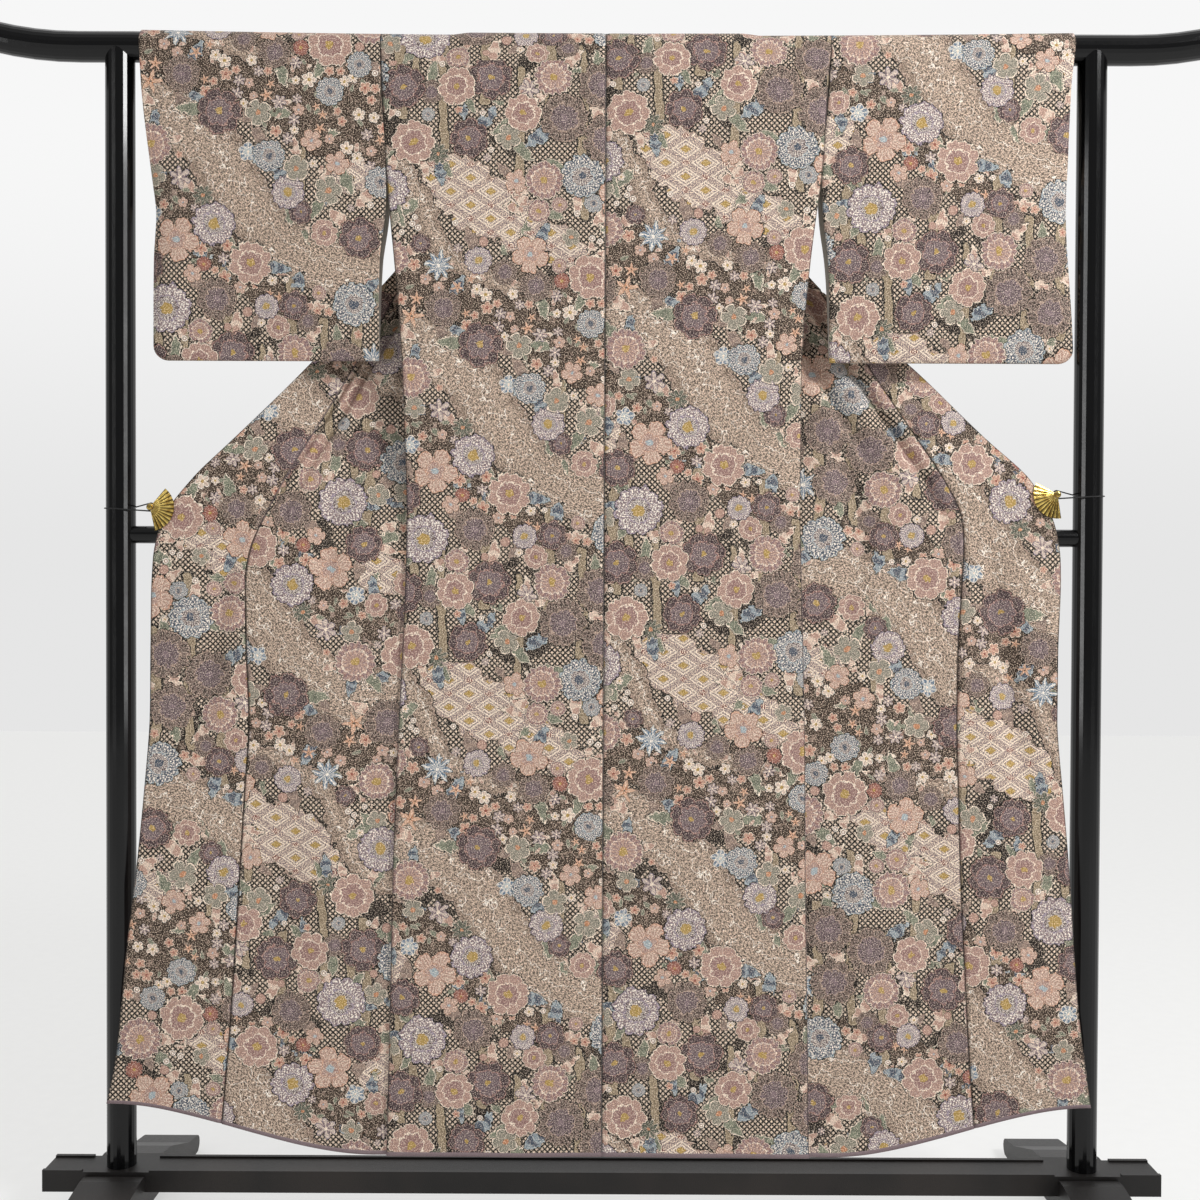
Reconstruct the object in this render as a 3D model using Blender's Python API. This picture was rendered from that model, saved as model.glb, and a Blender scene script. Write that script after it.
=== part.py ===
"""A lined kimono hung open, back to the viewer, over the rail of a black kimono stand.

The back hangs on the -Y side of the rail. The fronts go over the rail, fold round behind the
armpits and open out to both sides, where fan clips tied to the posts hold their edges.
Metres, +Z up, +X to the right, origin on the floor below the middle of the stand.
"""
import collections
import math

import bmesh
import bpy
import numpy as np

# Cloth
WALL = 0.0016
SEAM_GAP = 0.0003
FOLD_GAP = 0.0010
HEM_HEIGHT = 0.099
HEM_LIFT = 0.072
LIFT_TOP = 0.50
LIFT_START = 0.31
LIFT_SPAN = 0.37

# Neck and collar
NECK_HALF_WIDTH = 0.090
NECK_DROP = 0.060
COLLAR_WIDTH = 0.0545
COLLAR_END = 0.935
COLLAR_COLUMNS = 7
COLLAR_NECK_STEPS = 28
COLLAR_LIFT_FULL = 0.185
COLLAR_LIFT_NONE = 0.215

# Stand
RAIL_RADIUS = 0.0205
RAIL_HEIGHT = 1.630
RAIL_SAG = 0.006
RAIL_HALF_LENGTH = 0.899
RAIL_BEND_START = 0.728
RAIL_BEND_RADIUS = 0.51
POST_RADIUS = 0.020
POST_X = 0.672
SAG_HALF_LENGTH = POST_X - POST_RADIUS
CROSSBAR_RADIUS = 0.0122
CROSSBAR_HEIGHT = 0.956
BASE_HALF_LENGTH = 0.773
BASE_DEPTH = 0.054
BASE_BOTTOM = 0.047
BASE_TOP = 0.0746
LIP_HEIGHT = 0.0024
LIP_WIDTH = 0.006
LIP_HALF_GAP = 0.0465
FOOT_WIDTH = 0.083
FOOT_HALF_LENGTH = 0.230
FOOT_TOP = 0.070
FOOT_PAD = 0.045
FOOT_ARCH = 0.020
FOOT_TOE = 0.026
TOUCH = 0.0003
ROUND_SIDES = 24

# Radii of the cloth's middle layer over the rail, clear of it with chords taken into account
WRAP_STEPS = 9
WRAP_RADIUS = RAIL_RADIUS + 0.0005 + WALL / 2
COLLAR_RADIUS = RAIL_RADIUS + 0.0013 + WALL / 2
OVER_COLLAR = 0.0029
COLLAR_OFFSET = WALL + SEAM_GAP + 0.0001
COLLAR_SLACK = 0.0038
COLLAR_SLACK_START = 0.007

# Sleeves
SLEEVE_BOTTOM = 1.198
CUFF_LOW = 1.405
CORNER_RADIUS = 0.020
SLEEVE_LINES = {"bottom": 5, "corner": 3, "outer edge": 3}
SLEEVE_ROWS = 7
SLEEVE_CLOSED = 0.0014
SLEEVE_SHAPE = 2.6

# Fan clips
FAN_RADIUS = 0.033
FAN_PLEATS = 12
FAN_PLEAT_DEPTH = 0.0011
FAN_WALL = 0.0012
FAN_INNER = 0.0052
PIN_RADIUS = 0.0042
PIN_BALL = 0.0048
CORD_RADIUS = 0.0010
CLIP_EDGE_DEPTH = -0.027

# Outline of each side, in distances from the middle. Rows run from the shoulder to the hem.
OUTLINE_COLUMNS = ("height", "seam", "okumi", "edge")
OUTLINE = {
    "left": (
        (1.650, 0.3100, 0.0900, 0.0900),
        (1.570, 0.3065, 0.0900, 0.0900),
        (1.440, 0.2990, 0.2070, 0.2070),
        (1.380, 0.2940, 0.2590, 0.2620),
        (1.340, 0.2900, 0.2790, 0.2960),
        (1.190, 0.2780, 0.3560, 0.4220),
        (1.090, 0.2740, 0.4090, 0.5120),
        (1.040, 0.2720, 0.4360, 0.5580),
        (0.990, 0.2710, 0.4620, 0.5980),
        (0.940, 0.2710, 0.4840, 0.6160),
        (0.900, 0.2720, 0.4920, 0.6200),
        (0.800, 0.2760, 0.4910, 0.6220),
        (0.700, 0.2810, 0.4870, 0.6230),
        (0.600, 0.2850, 0.4930, 0.6310),
        (0.500, 0.2885, 0.4990, 0.6410),
        (0.350, 0.2915, 0.5070, 0.6560),
        (0.250, 0.2935, 0.5130, 0.6640),
        (0.170, 0.2955, 0.5190, 0.6710),
        (0.099, 0.2970, 0.5240, 0.6830),
    ),
    "right": (
        (1.650, 0.3100, 0.0900, 0.0900),
        (1.570, 0.3040, 0.0900, 0.0900),
        (1.440, 0.2950, 0.2000, 0.2000),
        (1.380, 0.2870, 0.2490, 0.2490),
        (1.310, 0.2790, 0.3040, 0.3080),
        (1.190, 0.2700, 0.3750, 0.4380),
        (1.090, 0.2695, 0.4340, 0.5300),
        (1.040, 0.2690, 0.4630, 0.5790),
        (0.990, 0.2690, 0.4880, 0.6110),
        (0.940, 0.2700, 0.4930, 0.6240),
        (0.900, 0.2710, 0.4910, 0.6260),
        (0.800, 0.2740, 0.4860, 0.6230),
        (0.700, 0.2765, 0.4855, 0.6230),
        (0.600, 0.2780, 0.4885, 0.6320),
        (0.500, 0.2790, 0.4920, 0.6410),
        (0.350, 0.2815, 0.4990, 0.6500),
        (0.250, 0.2835, 0.5040, 0.6570),
        (0.170, 0.2845, 0.5090, 0.6660),
        (0.099, 0.2860, 0.5140, 0.6740),
    ),
}
OKUMI_TIP = {"left": 1.380, "right": 1.310}

# The fold behind the armpit: how far it reaches in, its radius, and the depths (y) of the
# front's side edge and of its free edge.
FOLD_COLUMNS = ("height", "extra", "radius", "side_depth", "edge_depth")
FOLD = (
    (1.650, 0.000, 0.0012, 0.0218, 0.0218),
    (1.570, 0.000, 0.0012, 0.0218, 0.0225),
    (1.545, 0.000, 0.0032, 0.0216, 0.0275),
    (1.500, 0.006, 0.0110, 0.0212, 0.0430),
    (1.450, 0.018, 0.0170, 0.0208, 0.0550),
    (1.390, 0.050, 0.0215, 0.0170, 0.0600),
    (1.340, 0.085, 0.0235, 0.0110, 0.0580),
    (1.240, 0.055, 0.0235, -0.0080, 0.0390),
    (1.160, 0.035, 0.0195, -0.0215, 0.0170),
    (1.070, 0.012, 0.0130, -0.0215, -0.0150),
    (1.035, 0.008, 0.0095, -0.0215, -0.0270),
    (1.000, 0.004, 0.0060, -0.0215, -0.0270),
    (0.930, 0.000, 0.0018, -0.0215, -0.0270),
    (0.099, 0.000, 0.0018, -0.0215, -0.0270),
)
ARMPIT = 1.180

# Depth (y) of the back panels
BACK_COLUMNS = ("height", "depth")
BACK = (
    (1.630, -0.0218),
    (1.440, -0.0215),
    (1.200, -0.0240),
    (1.000, -0.0250),
    (0.850, -0.0260),
    (0.099, -0.0265),
)

# Soft upright folds in the open fronts: place across from side seam (0) over the okumi seam
# (1) to the free edge (2), the heights between which they fade, width and depth.
Crease = collections.namedtuple("Crease", "side across low high lean width depth")
CREASES = (
    Crease("left", 1.45, 0.66, 1.02, -0.55, 0.110, 0.0050),
    Crease("left", 0.45, 0.20, 0.78, 0.10, 0.130, -0.0035),
    Crease("left", 1.50, 0.10, 0.55, 0.00, 0.150, -0.0030),
    Crease("right", 1.55, 0.70, 0.98, 0.60, 0.110, 0.0045),
    Crease("right", 0.40, 0.18, 0.75, 0.05, 0.130, -0.0035),
    Crease("right", 1.40, 0.10, 0.50, 0.00, 0.150, -0.0030),
)

SLEEVE_COLUMNS = ("height", "inner", "outer")
SLEEVE = {
    "left": (
        (1.660, 0.3108, 0.6400),
        (1.570, 0.3078, 0.6360),
        (1.440, 0.3003, 0.6240),
        (1.400, 0.3020, 0.6210),
        (1.340, 0.3100, 0.6245),
        (1.198, 0.3130, 0.6255),
    ),
    "right": (
        (1.660, 0.3108, 0.6450),
        (1.570, 0.3056, 0.6360),
        (1.440, 0.2968, 0.6345),
        (1.400, 0.2985, 0.6350),
        (1.340, 0.3060, 0.6370),
        (1.198, 0.3110, 0.6490),
    ),
}

# Fan clips: pivot and the directions of the first and last rib, in degrees from +X
Clip = collections.namedtuple("Clip", "side x z first_rib last_rib")
CLIPS = (
    Clip("left", -0.622, 0.993, 50.0, -78.0),
    Clip("right", 0.620, 1.015, 151.0, 279.0),
)

BACK_HEIGHTS = (0.099, 0.240, 0.440, 0.660, 0.880, 1.080, 1.200, 1.317, 1.440, 1.560)
FRONT_HEIGHTS = (
    1.556, 1.546, 1.533, 1.518, 1.495, 1.470, 1.450, 1.432, 1.415, 1.398, 1.380, 1.362, 1.345, 1.328, 1.310,
    1.290, 1.270, 1.250, 1.230, 1.210, 1.190, 1.170, 1.145, 1.115, 1.085, 1.050, 1.020, 0.990, 0.960, 0.930, 0.890, 0.820, 0.730, 0.630, 0.520, 0.400, 0.290,
    0.190, 0.099,
)
ARCH_DROPS = (0.0, 0.004, 0.014, 0.032, 0.060)
BODY_COLUMNS = 12
COLUMNS_IN_FOLD = 1.0
FULL_FOLD_RADIUS = 0.006
OKUMI_COLUMNS = 5
SIDE_SIGN = {"left": -1.0, "right": 1.0}


def smooth(value):
    """0 to 1 with soft ends."""
    value = min(max(value, 0.0), 1.0)
    return value * value * (3 - 2 * value)


def read(rows, columns, column, height):
    """The column's value at a height, on a smooth curve through the table's rows."""
    at = columns.index(column)
    heights = np.array([row[0] for row in rows][::-1])
    values = np.array([row[at] for row in rows][::-1])
    slopes = np.gradient(values, heights)
    height = min(max(height, heights[0]), heights[-1])
    k = min(int(np.searchsorted(heights, height, side="right")) - 1, len(heights) - 2)
    step = heights[k + 1] - heights[k]
    t = (height - heights[k]) / step
    secant = (values[k + 1] - values[k]) / step
    low, high = (min(max(s, min(0, 3 * secant)), max(0, 3 * secant)) for s in slopes[k:k + 2])
    return float(
        (2 * t**3 - 3 * t**2 + 1) * values[k]
        + (t**3 - 2 * t**2 + t) * step * low
        + (3 * t**2 - 2 * t**3) * values[k + 1]
        + (t**3 - t**2) * step * high
    )


def rail_height(x):
    """Height of the rail's axis: it sags between the posts and its ends curve up."""
    if abs(x) < SAG_HALF_LENGTH:
        return RAIL_HEIGHT - RAIL_SAG * (1 - (x / SAG_HALF_LENGTH) ** 2)
    past = max(0.0, abs(x) - RAIL_BEND_START)
    return RAIL_HEIGHT + RAIL_BEND_RADIUS - math.sqrt(RAIL_BEND_RADIUS**2 - past**2)


def over_collar(x):
    """How far the body's cloth stands off the rail where the folded-in collar lies below it."""
    span = COLLAR_LIFT_NONE - COLLAR_LIFT_FULL
    return OVER_COLLAR * (1 - smooth((abs(x) - COLLAR_LIFT_FULL) / span))


def far_side(x, h, radius):
    """A point h above the rail's axis on the far side; above it, h runs on over the rail."""
    if h <= 0:
        return (x, radius, rail_height(x) + h)
    angle = h / radius
    return (x, radius * math.cos(angle), rail_height(x) + radius * math.sin(angle))


def hem_lift(distance, height):
    """The fronts are pulled up towards their outer corners, most of all at the hem."""
    near_hem = (LIFT_TOP - height) / (LIFT_TOP - HEM_HEIGHT)
    return HEM_LIFT * smooth((distance - LIFT_START) / LIFT_SPAN) * min(max(near_hem, 0), 1)


def crease_depth(side, across, height):
    depth = 0.0
    for crease in CREASES:
        if crease.side != side or not crease.low < height < crease.high:
            continue
        middle = crease.across + crease.lean * (height - (crease.low + crease.high) / 2)
        wave = math.exp(-(((across - middle) / crease.width) ** 2) / 2)
        fade = math.sin(math.pi * (height - crease.low) / (crease.high - crease.low))
        depth += crease.depth * wave * fade
    return depth


class Section:
    """A level cut through one opened front, measured along the cloth from its side edge."""

    def __init__(self, side, height):
        self.side, self.height = side, height
        self.sign = SIDE_SIGN[side]
        rows = OUTLINE[side]
        self.seam = read(rows, OUTLINE_COLUMNS, "seam", height)
        self.edge = read(rows, OUTLINE_COLUMNS, "edge", height)
        okumi = read(rows, OUTLINE_COLUMNS, "okumi", height)
        self.okumi_width = self.edge - okumi if height <= OKUMI_TIP[side] + 1e-6 else 0.0
        self.extra = read(FOLD, FOLD_COLUMNS, "extra", height)
        self.radius = read(FOLD, FOLD_COLUMNS, "radius", height)
        self.side_depth = read(FOLD, FOLD_COLUMNS, "side_depth", height)
        self.edge_depth = read(FOLD, FOLD_COLUMNS, "edge_depth", height)
        if height < ARMPIT:
            self.side_depth = back_depth(height) + WALL + FOLD_GAP
        self.inward = max(0.0, self.seam - self.edge) + self.extra
        self.outward = max(0.0, self.edge - self.seam) + self.extra
        self.length = self.inward + math.pi * self.radius + self.outward
        self.front_length = self.length - self.okumi_width

    def flat_point(self, s):
        """(distance from the middle, depth) at s along the cloth, before the creases."""
        if s <= self.inward:
            x = self.seam - s
            off = over_collar(x) * smooth((self.height - 1.45) / 0.10)
            return x, self.side_depth + off
        bend = (s - self.inward) / self.radius
        start = over_collar(self.seam - self.inward) * smooth((self.height - 1.45) / 0.10)
        if bend < math.pi:
            return (
                self.seam - self.inward - self.radius * math.sin(bend),
                self.side_depth + start + self.radius * (1 - math.cos(bend)),
            )
        gone = s - self.inward - math.pi * self.radius
        begin = self.side_depth + start + 2 * self.radius
        share = smooth(gone / max(self.outward, 1e-6) / 0.8)
        return self.seam - self.inward + gone, begin + (self.edge_depth - begin) * share

    def places(self, start, end, count):
        """Distances along the cloth from start to end, closer together where it bends."""
        fine = np.linspace(start, end, 400)
        bend = np.clip((fine - self.inward) / (math.pi * self.radius), 0, 1)
        weight = COLUMNS_IN_FOLD * min(1.0, self.radius / FULL_FOLD_RADIUS)
        gone = (fine - start) / (end - start) + weight * bend
        steps = np.linspace(gone[0], gone[-1], count + 1)
        return np.interp(steps, gone, fine).tolist()

    def across(self, s):
        """0 at the side seam, 1 at the okumi seam, 2 at the free edge."""
        if s <= self.front_length or self.okumi_width <= 0:
            return s / self.front_length
        return 1 + (s - self.front_length) / self.okumi_width

    def point(self, s, behind=0.0):
        """The cloth's middle layer at s, or a layer that far behind it, on the lining's side."""
        distance, depth = self.flat_point(s)
        depth += crease_depth(self.side, self.across(s), self.height)
        if behind:
            step = 1e-4
            x0, y0 = self.flat_point(max(s - step, 0))
            x1, y1 = self.flat_point(min(s + step, self.length))
            size = math.hypot(x1 - x0, y1 - y0)
            distance -= behind * (y1 - y0) / size
            depth += behind * (x1 - x0) / size
        height = self.height + hem_lift(distance, self.height)
        return (self.sign * distance, depth, height)


def back_depth(height):
    return read(BACK, BACK_COLUMNS, "depth", height)


def shares(count):
    return np.linspace(0, 1, count + 1)


def body_rows(side):
    """Back from the hem up, over the rail, and the front down to the hem again."""
    sign = SIDE_SIGN[side]
    outline = OUTLINE[side]
    rows = []
    for height in BACK_HEIGHTS:
        seam = read(outline, OUTLINE_COLUMNS, "seam", height)
        row = []
        for c in shares(BODY_COLUMNS):
            x = seam + (SEAM_GAP / 2 - seam) * c
            near_rail = smooth((height - 1.45) / 0.10)
            row.append((sign * x, back_depth(height) - over_collar(x) * near_rail, height))
        rows.append(row)
    seam = read(outline, OUTLINE_COLUMNS, "seam", RAIL_HEIGHT)
    for k in range(WRAP_STEPS + 1):
        angle = math.pi * (1 - k / WRAP_STEPS)
        row = []
        for c in shares(BODY_COLUMNS):
            x = seam + (SEAM_GAP / 2 - seam) * c
            radius = WRAP_RADIUS + over_collar(x)
            row.append(far_side(sign * x, angle * radius, radius))
        rows.append(row)
    for drop in ARCH_DROPS[1:]:
        inner = neck_half_width(drop)
        seam = read(outline, OUTLINE_COLUMNS, "seam", RAIL_HEIGHT - drop)
        row = []
        for c in shares(BODY_COLUMNS):
            x = seam + (inner - seam) * c
            row.append(far_side(sign * x, -drop, WRAP_RADIUS + over_collar(x)))
        rows.append(row)
    for height in FRONT_HEIGHTS:
        section = Section(side, height)
        end = section.front_length - (SEAM_GAP / 2 if section.okumi_width else 0)
        rows.append([section.point(s) for s in section.places(0, end, BODY_COLUMNS)])
    return rows


def neck_half_width(drop):
    """Half width of the neck opening, a half ellipse that opens downwards."""
    return NECK_HALF_WIDTH * math.sqrt(max(0.0, 1 - (1 - drop / NECK_DROP) ** 2)) + SEAM_GAP / 2


def okumi_rows(side):
    rows = []
    for height in FRONT_HEIGHTS:
        if height > OKUMI_TIP[side] + 1e-6:
            continue
        section = Section(side, height)
        start = section.front_length + SEAM_GAP / 2
        rows.append(
            [section.point(start + (section.length - start) * c) for c in shares(OKUMI_COLUMNS)]
        )
    return rows


def collar_rows():
    """The collar, folded in: down the left front, round the neck and down the right front."""
    rows = []
    for side in SIDE_SIGN:
        part = []
        for height in (COLLAR_END,) + tuple(h for h in FRONT_HEIGHTS[::-1] if h > COLLAR_END + 0.01):
            section = Section(side, height)
            below, above = Section(side, height - 0.01), Section(side, height + 0.01)
            slant = math.atan2(0.02, abs(below.edge - above.edge))
            width = COLLAR_WIDTH / math.sin(slant)
            edge = section.length - 0.0008
            slack = COLLAR_SLACK * smooth((height - 1.0) / 0.1)
            at_edge = smooth((height - 1.40) / 0.09)
            row = []
            for s in section.places(edge - width, edge, COLLAR_COLUMNS)[::-1]:
                away = max(at_edge, smooth((edge - s) / COLLAR_SLACK_START))
                row.append(section.point(s, behind=COLLAR_OFFSET + slack * away))
            part.append(row)
        if side == "right":
            part = part[::-1]
            rows += arch_rows()
        rows += part
    return rows


def arch_rows():
    """The collar round the neck opening, where it lies between the rail and the back."""
    rows = []
    for k in range(COLLAR_NECK_STEPS + 1):
        turn = math.pi * (k / COLLAR_NECK_STEPS - 0.5)
        edge_x, edge_h = NECK_HALF_WIDTH * math.sin(turn), -NECK_DROP * (1 - math.cos(turn))
        out_x, out_h = math.sin(turn) / NECK_HALF_WIDTH, math.cos(turn) / NECK_DROP
        size = math.hypot(out_x, out_h)
        rows.append(
            [
                far_side(
                    edge_x + COLLAR_WIDTH * c * out_x / size,
                    edge_h + COLLAR_WIDTH * c * out_h / size - 0.0008,
                    COLLAR_RADIUS,
                )
                for c in shares(COLLAR_COLUMNS)
            ]
        )
    return rows


def sleeve_rings(side):
    """Lines from the rail down to the closed edge, each as a ring round both layers."""
    sign = SIDE_SIGN[side]
    table = SLEEVE[side]
    inner_top = read(table, SLEEVE_COLUMNS, "inner", RAIL_HEIGHT)
    outer_top = read(table, SLEEVE_COLUMNS, "outer", RAIL_HEIGHT)
    inner_low = read(table, SLEEVE_COLUMNS, "inner", SLEEVE_BOTTOM)
    outer_low = read(table, SLEEVE_COLUMNS, "outer", SLEEVE_BOTTOM)
    rings = []
    for share, low_x, low_z in sleeve_edge(inner_low, outer_low):
        top_x = inner_top + (outer_top - inner_top) * share
        layer = []
        for k in range(SLEEVE_ROWS + 1):
            t = k / SLEEVE_ROWS
            z = rail_height(top_x) + (low_z - rail_height(top_x)) * t
            x = top_x + (low_x - top_x) * t
            straight_in = inner_top + (inner_low - inner_top) * t
            straight_out = outer_top + (outer_low - outer_top) * t
            x += (read(table, SLEEVE_COLUMNS, "inner", z) - straight_in) * (1 - share) ** 2
            x += (read(table, SLEEVE_COLUMNS, "outer", z) - straight_out) * share**2
            half = SLEEVE_CLOSED + (WRAP_RADIUS - SLEEVE_CLOSED) * (1 - t**SLEEVE_SHAPE)
            layer.append((x, half, z))
        ring = [(sign * x, -half, z) for x, half, z in layer[::-1]]
        for k in range(1, WRAP_STEPS):
            angle = math.pi * (1 - k / WRAP_STEPS)
            ring.append(far_side(sign * layer[0][0], angle * WRAP_RADIUS, WRAP_RADIUS))
        ring += [(sign * x, half, z) for x, half, z in layer]
        rings.append(ring)
    return rings


def sleeve_edge(inner, outer):
    """Along the sleeve's bottom, round its corner and up its closed outer edge to the cuff.

    Each point comes with how much of the way round it is.
    """
    flat = outer - CORNER_RADIUS - inner
    arc = math.pi / 2 * CORNER_RADIUS
    rise = CUFF_LOW - SLEEVE_BOTTOM - CORNER_RADIUS
    total = flat + arc + rise
    points = []
    for t in shares(SLEEVE_LINES["bottom"])[:-1]:
        points.append((flat * t / total, inner + flat * t, SLEEVE_BOTTOM))
    for t in shares(SLEEVE_LINES["corner"])[:-1]:
        across = CORNER_RADIUS * (1 - math.sin(math.pi / 2 * t))
        up = CORNER_RADIUS * (1 - math.cos(math.pi / 2 * t))
        points.append(((flat + arc * t) / total, outer - across, SLEEVE_BOTTOM + up))
    for t in shares(SLEEVE_LINES["outer edge"]):
        height = SLEEVE_BOTTOM + CORNER_RADIUS + rise * t
        points.append(((flat + arc + rise * t) / total, outer, height))
    return points


def material(name, colour, roughness, metallic=0.0):
    made = bpy.data.materials.new(name)
    made.use_nodes = True
    shader = made.node_tree.nodes["Principled BSDF"]
    shader.inputs["Base Color"].default_value = (*colour, 1.0)
    shader.inputs["Roughness"].default_value = roughness
    shader.inputs["Metallic"].default_value = metallic
    return made


def add(name, bm, look, sharp_angle=40.0):
    """Closes a bmesh into a named object with its faces pointing out."""
    bmesh.ops.recalc_face_normals(bm, faces=bm.faces)
    mesh = bpy.data.meshes.new(name)
    bm.to_mesh(mesh)
    bm.free()
    mesh.shade_smooth()
    mesh.set_sharp_from_angle(angle=math.radians(sharp_angle))
    mesh.materials.append(look)
    made = bpy.data.objects.new(name, mesh)
    bpy.context.scene.collection.objects.link(made)
    return made


def wall(name, rows, look, thickness=WALL, ring=False, mirrored=False):
    """A wall of even thickness about a grid of points; ring closes each row on itself.

    In a mirrored one the second half of the rows has its quads split the other way.
    """
    grid = np.array(rows, float)
    if ring:
        padded = np.concatenate([grid[:, -1:], grid, grid[:, :1]], axis=1)
        across = padded[:, 2:] - padded[:, :-2]
    else:
        across = np.gradient(grid, axis=1)
    along = np.gradient(grid, axis=0)
    normal = np.cross(along, across)
    normal /= np.linalg.norm(normal, axis=2, keepdims=True)
    bm = bmesh.new()
    layers = []
    for turn in (1, -1):
        points = grid + turn * normal * thickness / 2
        layers.append([[bm.verts.new(p) for p in row] for row in points])
    count, columns = grid.shape[:2]
    last = columns if ring else columns - 1
    for i in range(count - 1):
        for j in range(last):
            k = (j + 1) % columns
            for layer in layers:
                quad = (layer[i][j], layer[i + 1][j], layer[i + 1][k], layer[i][k])
                bm.faces.new(quad[1:] + quad[:1] if mirrored and 2 * i >= count else quad)
    first, second = layers
    for j in range(last):
        k = (j + 1) % columns
        for i in (0, count - 1):
            bm.faces.new((first[i][j], first[i][k], second[i][k], second[i][j]))
    if not ring:
        for i in range(count - 1):
            for j in (0, columns - 1):
                bm.faces.new((first[i][j], first[i + 1][j], second[i + 1][j], second[i][j]))
    return add(name, bm, look)


def swept(name, rings, look, closed=False):
    """A solid through rings of points, with flat ends unless it is closed on itself."""
    bm = bmesh.new()
    made = [[bm.verts.new(p) for p in ring] for ring in rings]
    sides = len(made[0])
    for i in range(len(made) - (0 if closed else 1)):
        one, two = made[i], made[(i + 1) % len(made)]
        for j in range(sides):
            k = (j + 1) % sides
            bm.faces.new((one[j], one[k], two[k], two[j]))
    if not closed:
        bm.faces.new(made[0])
        bm.faces.new(made[-1])
    return add(name, bm, look)


def circle(radius, sides=ROUND_SIDES):
    turns = [2 * math.pi * k / sides for k in range(sides)]
    return [(radius * math.cos(a), radius * math.sin(a)) for a in turns]


def top_rail(look):
    """The rail with its rounded, upward-curving ends."""
    places = np.linspace(-SAG_HALF_LENGTH, SAG_HALF_LENGTH, 9).tolist()
    places = [-RAIL_BEND_START] + places + [RAIL_BEND_START]
    bend = np.linspace(RAIL_BEND_START, RAIL_HALF_LENGTH - RAIL_RADIUS, 6).tolist()[1:]
    places = [-x for x in bend[::-1]] + places + bend
    cap = [(RAIL_RADIUS * math.sin(a), math.cos(a)) for a in np.radians((30, 55, 75))]
    stations = [(x, 1.0) for x in places]
    stations += [(places[-1] + out, size) for out, size in cap]
    stations = [(places[0] - out, size) for out, size in cap[::-1]] + stations
    rings = []
    for x, size in stations:
        slope = math.asin(max(0.0, abs(x) - RAIL_BEND_START) / RAIL_BEND_RADIUS)
        slope = math.copysign(slope, x)
        z = rail_height(x)
        rings.append(
            [
                (x - size * up * math.sin(slope), size * side, z + size * up * math.cos(slope))
                for side, up in circle(RAIL_RADIUS)
            ]
        )
    return swept("top_rail", rings, look)


def saddle_cylinder(name, radius, other_radius, start, end, axis, look, both=False):
    """A round bar whose end, or both ends, fit round a crossing bar of another radius."""
    bm = bmesh.new()
    reach = other_radius + TOUCH

    def ring(at, inwards, cut):
        made = []
        for u, v in circle(radius):
            back = math.sqrt(reach**2 - u**2) if cut else 0.0
            along = at + inwards * back
            made.append(bm.verts.new(axis(u, v, along)))
        return made

    low, high = ring(start, 1, both), ring(end, -1, True)
    for j in range(ROUND_SIDES):
        k = (j + 1) % ROUND_SIDES
        bm.faces.new((low[j], low[k], high[k], high[j]))
    for rim in (low, high):
        # u is the same at j and at -j, so each strip of the cap follows the saddle.
        for j in range(ROUND_SIDES // 2):
            pair = (rim[j], rim[j + 1], rim[-j - 1], rim[-j] if j else rim[0])
            bm.faces.new(tuple(dict.fromkeys(pair)))
    return add(name, bm, look)


def posts_and_crossbar(look):
    for side, sign in SIDE_SIGN.items():
        saddle_cylinder(
            f"post_{side}",
            POST_RADIUS,
            RAIL_RADIUS,
            BASE_TOP + TOUCH,
            RAIL_HEIGHT,
            lambda u, v, along, sign=sign: (sign * POST_X + v, u, along),
            look,
        )
    saddle_cylinder(
        "crossbar",
        CROSSBAR_RADIUS,
        POST_RADIUS,
        -POST_X,
        POST_X,
        lambda u, v, along: (along, u, CROSSBAR_HEIGHT + v),
        look,
        both=True,
    )


def base_bar(look):
    """A flat bar with raised lips along its long edges, left open beside each post."""
    half = BASE_DEPTH / 2
    breaks = [-BASE_HALF_LENGTH, -POST_X - LIP_HALF_GAP, -POST_X + LIP_HALF_GAP]
    breaks += [-x for x in breaks[::-1]]
    edges = [-half, -half + LIP_WIDTH, half - LIP_WIDTH, half]
    bm = bmesh.new()
    tops, bottoms = {}, {}
    for i, x in enumerate(breaks):
        for j, y in enumerate(edges):
            bottoms[i, j] = bm.verts.new((x, y, BASE_BOTTOM))
            tops[i, j] = bm.verts.new((x, y, BASE_TOP))
    raised = {}
    for i in (0, 2, 4):
        for j in (0, 2):
            for a in (i, i + 1):
                for b in (j, j + 1):
                    raised[i, j, a, b] = bm.verts.new((breaks[a], edges[b], BASE_TOP + LIP_HEIGHT))
    for i in range(len(breaks) - 1):
        for j in range(len(edges) - 1):
            corners = ((i, j), (i + 1, j), (i + 1, j + 1), (i, j + 1))
            bm.faces.new([bottoms[c] for c in corners])
            if (i, j, i, j) in raised:
                top = [raised[(i, j, *c)] for c in corners]
                bm.faces.new(top)
                for k in range(4):
                    m = (k + 1) % 4
                    low = (tops[corners[k]], tops[corners[m]])
                    bm.faces.new((low[0], low[1], top[m], top[k]))
            else:
                bm.faces.new([tops[c] for c in corners])
    for i in range(len(breaks) - 1):
        for j in (0, len(edges) - 1):
            a, b = (i, j), (i + 1, j)
            bm.faces.new((bottoms[a], bottoms[b], tops[b], tops[a]))
    for j in range(len(edges) - 1):
        for i in (0, len(breaks) - 1):
            a, b = (i, j), (i, j + 1)
            bm.faces.new((bottoms[a], bottoms[b], tops[b], tops[a]))
    return add("base_bar", bm, look, sharp_angle=30.0)


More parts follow.
